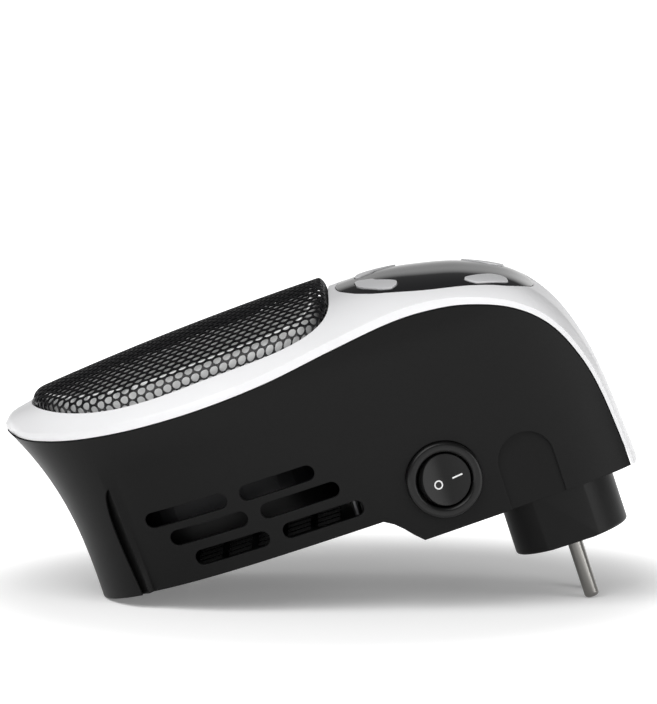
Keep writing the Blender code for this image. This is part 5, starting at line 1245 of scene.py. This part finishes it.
def make_world(settings):
    """Even light, with a white backdrop behind the object whose reflection dims towards a dark ceiling."""
    world = bpy.data.worlds.new("Studio")
    bpy.context.scene.world = world
    world.use_nodes = True
    tree = world.node_tree
    sky = tree.nodes["Background"]
    sky.inputs["Color"].default_value = WHITE
    sky.inputs["Strength"].default_value = settings.sky_strength
    stops = (
        (0.0, 1.0), (settings.backdrop_low_deg, 1.0), (settings.backdrop_high_deg, settings.backdrop_dim),
        (settings.backdrop_high_deg + CEILING_FADE_DEG, settings.ceiling_strength),
    )
    place = add_node(tree, "TexCoord").outputs["Object"]
    height = add_node(tree, "SeparateXYZ", {0: place}).outputs["Z"]
    fade = add_node(tree, "ValToRGB", {"Fac": height})
    while len(fade.color_ramp.elements) < len(stops):
        fade.color_ramp.elements.new(0.5)
    for element, (elevation, strength) in zip(fade.color_ramp.elements, stops):
        element.position = math.sin(math.radians(elevation))
        element.color = (strength, strength, strength, 1.0)
    camera_ray = add_node(tree, "LightPath").outputs["Is Camera Ray"]
    brighter = add_node(tree, "Math", {0: fade.outputs["Color"], 1: camera_ray}, operation="MAXIMUM")
    backdrop = add_node(tree, "Background", {"Color": WHITE, "Strength": brighter.outputs[0]})
    mix = add_node(tree, "MixShader", {"Fac": seen_directly(tree), 1: sky.outputs[0], 2: backdrop.outputs[0]})
    tree.links.new(mix.outputs[0], tree.nodes["World Output"].inputs["Surface"])


def make_stage(settings):
    make_camera()
    make_world(settings)
    make_floor(settings)
    add_area("Key softbox", KEY_PLACE, KEY_SIZE, settings.key_power)
    add_area("Fill softbox", FILL_PLACE, FILL_SIZE, settings.fill_power)
    bpy.context.scene.view_settings.view_transform = "Standard"


class HeaterSettings(bpy.types.PropertyGroup):
    hole_diameter: FloatProperty(
        name="Hole diameter", description="Holes of the grille", default=0.00268, unit="LENGTH"
    )
    hole_pitch: FloatProperty(name="Hole pitch", description="Spacing of the holes", default=0.0031, unit="LENGTH")
    hole_offset: FloatProperty(
        name="Hole offset", description="Shift of the rows away from the switch side",
        default=0.00024, unit="LENGTH",
    )
    sheet_wall: FloatProperty(
        name="Sheet", description="Thickness of the grille's sheet", default=0.00055, unit="LENGTH"
    )
    housing_colour: FloatVectorProperty(
        name="Black plastic", description="Colour of the housing",
        subtype="COLOR", size=3, default=(0.006, 0.006, 0.006),
    )
    cover_colour: FloatVectorProperty(
        name="Cover", description="Colour of the white cover",
        subtype="COLOR", size=3, default=(0.82, 0.82, 0.83),
    )
    panel_colour: FloatVectorProperty(
        name="Panel", description="Colour of the gloss panel",
        subtype="COLOR", size=3, default=(0.012, 0.012, 0.013),
    )
    button_colour: FloatVectorProperty(
        name="Buttons", description="Colour of the buttons",
        subtype="COLOR", size=3, default=(0.62, 0.62, 0.63),
    )
    grille_colour: FloatVectorProperty(
        name="Grille", description="Colour of the grille's paint",
        subtype="COLOR", size=3, default=(0.006, 0.006, 0.007),
    )
    collar_colour: FloatVectorProperty(
        name="Collar", description="Colour of the collar's metal",
        subtype="COLOR", size=3, default=(0.93, 0.93, 0.93),
    )
    pin_colour: FloatVectorProperty(
        name="Pins", description="Colour of the plug's pins",
        subtype="COLOR", size=3, default=(0.2, 0.195, 0.185),
    )
    mark_colour: FloatVectorProperty(
        name="Marks", description="Colour of the rocker's marks",
        subtype="COLOR", size=3, default=(0.8, 0.8, 0.8),
    )
    floor_colour: FloatVectorProperty(
        name="Floor", description="Colour of the floor",
        subtype="COLOR", size=3, default=(0.93, 0.93, 0.93),
    )
    sky_strength: FloatProperty(name="Sky", description="Strength of the even light", default=0.37)
    key_power: FloatProperty(name="Key light", description="Power of the high softbox", default=9.3)
    fill_power: FloatProperty(name="Fill light", description="Power of the low softbox", default=5.8)
    backdrop_low_deg: FloatProperty(name="Backdrop fade start", description="Elevation in degrees", default=1.0)
    backdrop_high_deg: FloatProperty(name="Backdrop fade end", description="Elevation in degrees", default=8.5)
    backdrop_dim: FloatProperty(name="Backdrop top", description="Strength where the backdrop ends", default=0.25)
    ceiling_strength: FloatProperty(name="Ceiling", description="What reflections see overhead", default=0.07)
    shadow_reach: FloatProperty(
        name="Shadow reach", description="Where the floor turns plain white", default=0.18, unit="LENGTH"
    )
    paper_glow: FloatProperty(name="Paper glow", description="How far the lit floor is whitened", default=0.15)


class HEATER_OT_make_housing(bpy.types.Operator):
    """Makes the black rear housing"""

    bl_idname = "heater.make_housing"
    bl_label = "Make housing"

    def execute(self, context):
        make_housing(context.scene.heater)
        return {"FINISHED"}


class HEATER_OT_make_cover(bpy.types.Operator):
    """Makes the white front cover"""

    bl_idname = "heater.make_cover"
    bl_label = "Make cover"

    def execute(self, context):
        make_cover(context.scene.heater)
        return {"FINISHED"}


class HEATER_OT_make_panel(bpy.types.Operator):
    """Makes the gloss panel and its four buttons"""

    bl_idname = "heater.make_panel"
    bl_label = "Make panel"

    def execute(self, context):
        make_panel(context.scene.heater)
        return {"FINISHED"}


class HEATER_OT_make_grille(bpy.types.Operator):
    """Makes the perforated outlet grille and its collar"""

    bl_idname = "heater.make_grille"
    bl_label = "Make grille"

    def execute(self, context):
        make_grille(context.scene.heater)
        return {"FINISHED"}


class HEATER_OT_make_switch(bpy.types.Operator):
    """Makes the rocker switch and its marks"""

    bl_idname = "heater.make_switch"
    bl_label = "Make switch"

    def execute(self, context):
        make_switch(context.scene.heater)
        return {"FINISHED"}


class HEATER_OT_make_plug(bpy.types.Operator):
    """Makes the plug and its pins"""

    bl_idname = "heater.make_plug"
    bl_label = "Make plug"

    def execute(self, context):
        make_plug(context.scene.heater)
        return {"FINISHED"}


class HEATER_OT_make_air_guide(bpy.types.Operator):
    """Makes the ring under the fan's shroud"""

    bl_idname = "heater.make_air_guide"
    bl_label = "Make air guide"

    def execute(self, context):
        make_air_guide(context.scene.heater)
        return {"FINISHED"}


class HEATER_OT_dress_nodes(bpy.types.Operator):
    """Gives the pieces that stay their finishes"""

    bl_idname = "heater.dress_nodes"
    bl_label = "Dress nodes"

    def execute(self, context):
        dress_nodes(context.scene.heater)
        return {"FINISHED"}


class HEATER_OT_make_stage(bpy.types.Operator):
    """Makes the camera, the lights, the floor and the backdrop"""

    bl_idname = "heater.make_stage"
    bl_label = "Make stage"

    def execute(self, context):
        make_stage(context.scene.heater)
        return {"FINISHED"}


OPERATORS = (
    HEATER_OT_make_housing,
    HEATER_OT_make_cover,
    HEATER_OT_make_panel,
    HEATER_OT_make_grille,
    HEATER_OT_make_switch,
    HEATER_OT_make_plug,
    HEATER_OT_make_air_guide,
    HEATER_OT_dress_nodes,
    HEATER_OT_make_stage,
)


class HEATER_PT_panel(bpy.types.Panel):
    """Lists the heater's pieces"""

    bl_label = "Fan heater"
    bl_idname = "HEATER_PT_panel"
    bl_space_type = "VIEW_3D"
    bl_region_type = "UI"
    bl_category = "Heater"

    def draw(self, context):
        for operator in OPERATORS:
            self.layout.operator(operator.bl_idname)


CLASSES = (HeaterSettings, *OPERATORS, HEATER_PT_panel)


def register():
    for cls in CLASSES:
        bpy.utils.register_class(cls)
    bpy.types.Scene.heater = PointerProperty(type=HeaterSettings)


def unregister():
    del bpy.types.Scene.heater
    for cls in reversed(CLASSES):
        bpy.utils.unregister_class(cls)


def main():
    register()
    bpy.ops.heater.make_housing()
    bpy.ops.heater.make_cover()
    bpy.ops.heater.make_panel()
    bpy.ops.heater.make_grille()
    bpy.ops.heater.make_switch()
    bpy.ops.heater.make_plug()
    bpy.ops.heater.make_air_guide()
    bpy.ops.heater.dress_nodes()
    bpy.ops.heater.make_stage()


if __name__ == "__main__":
    main()
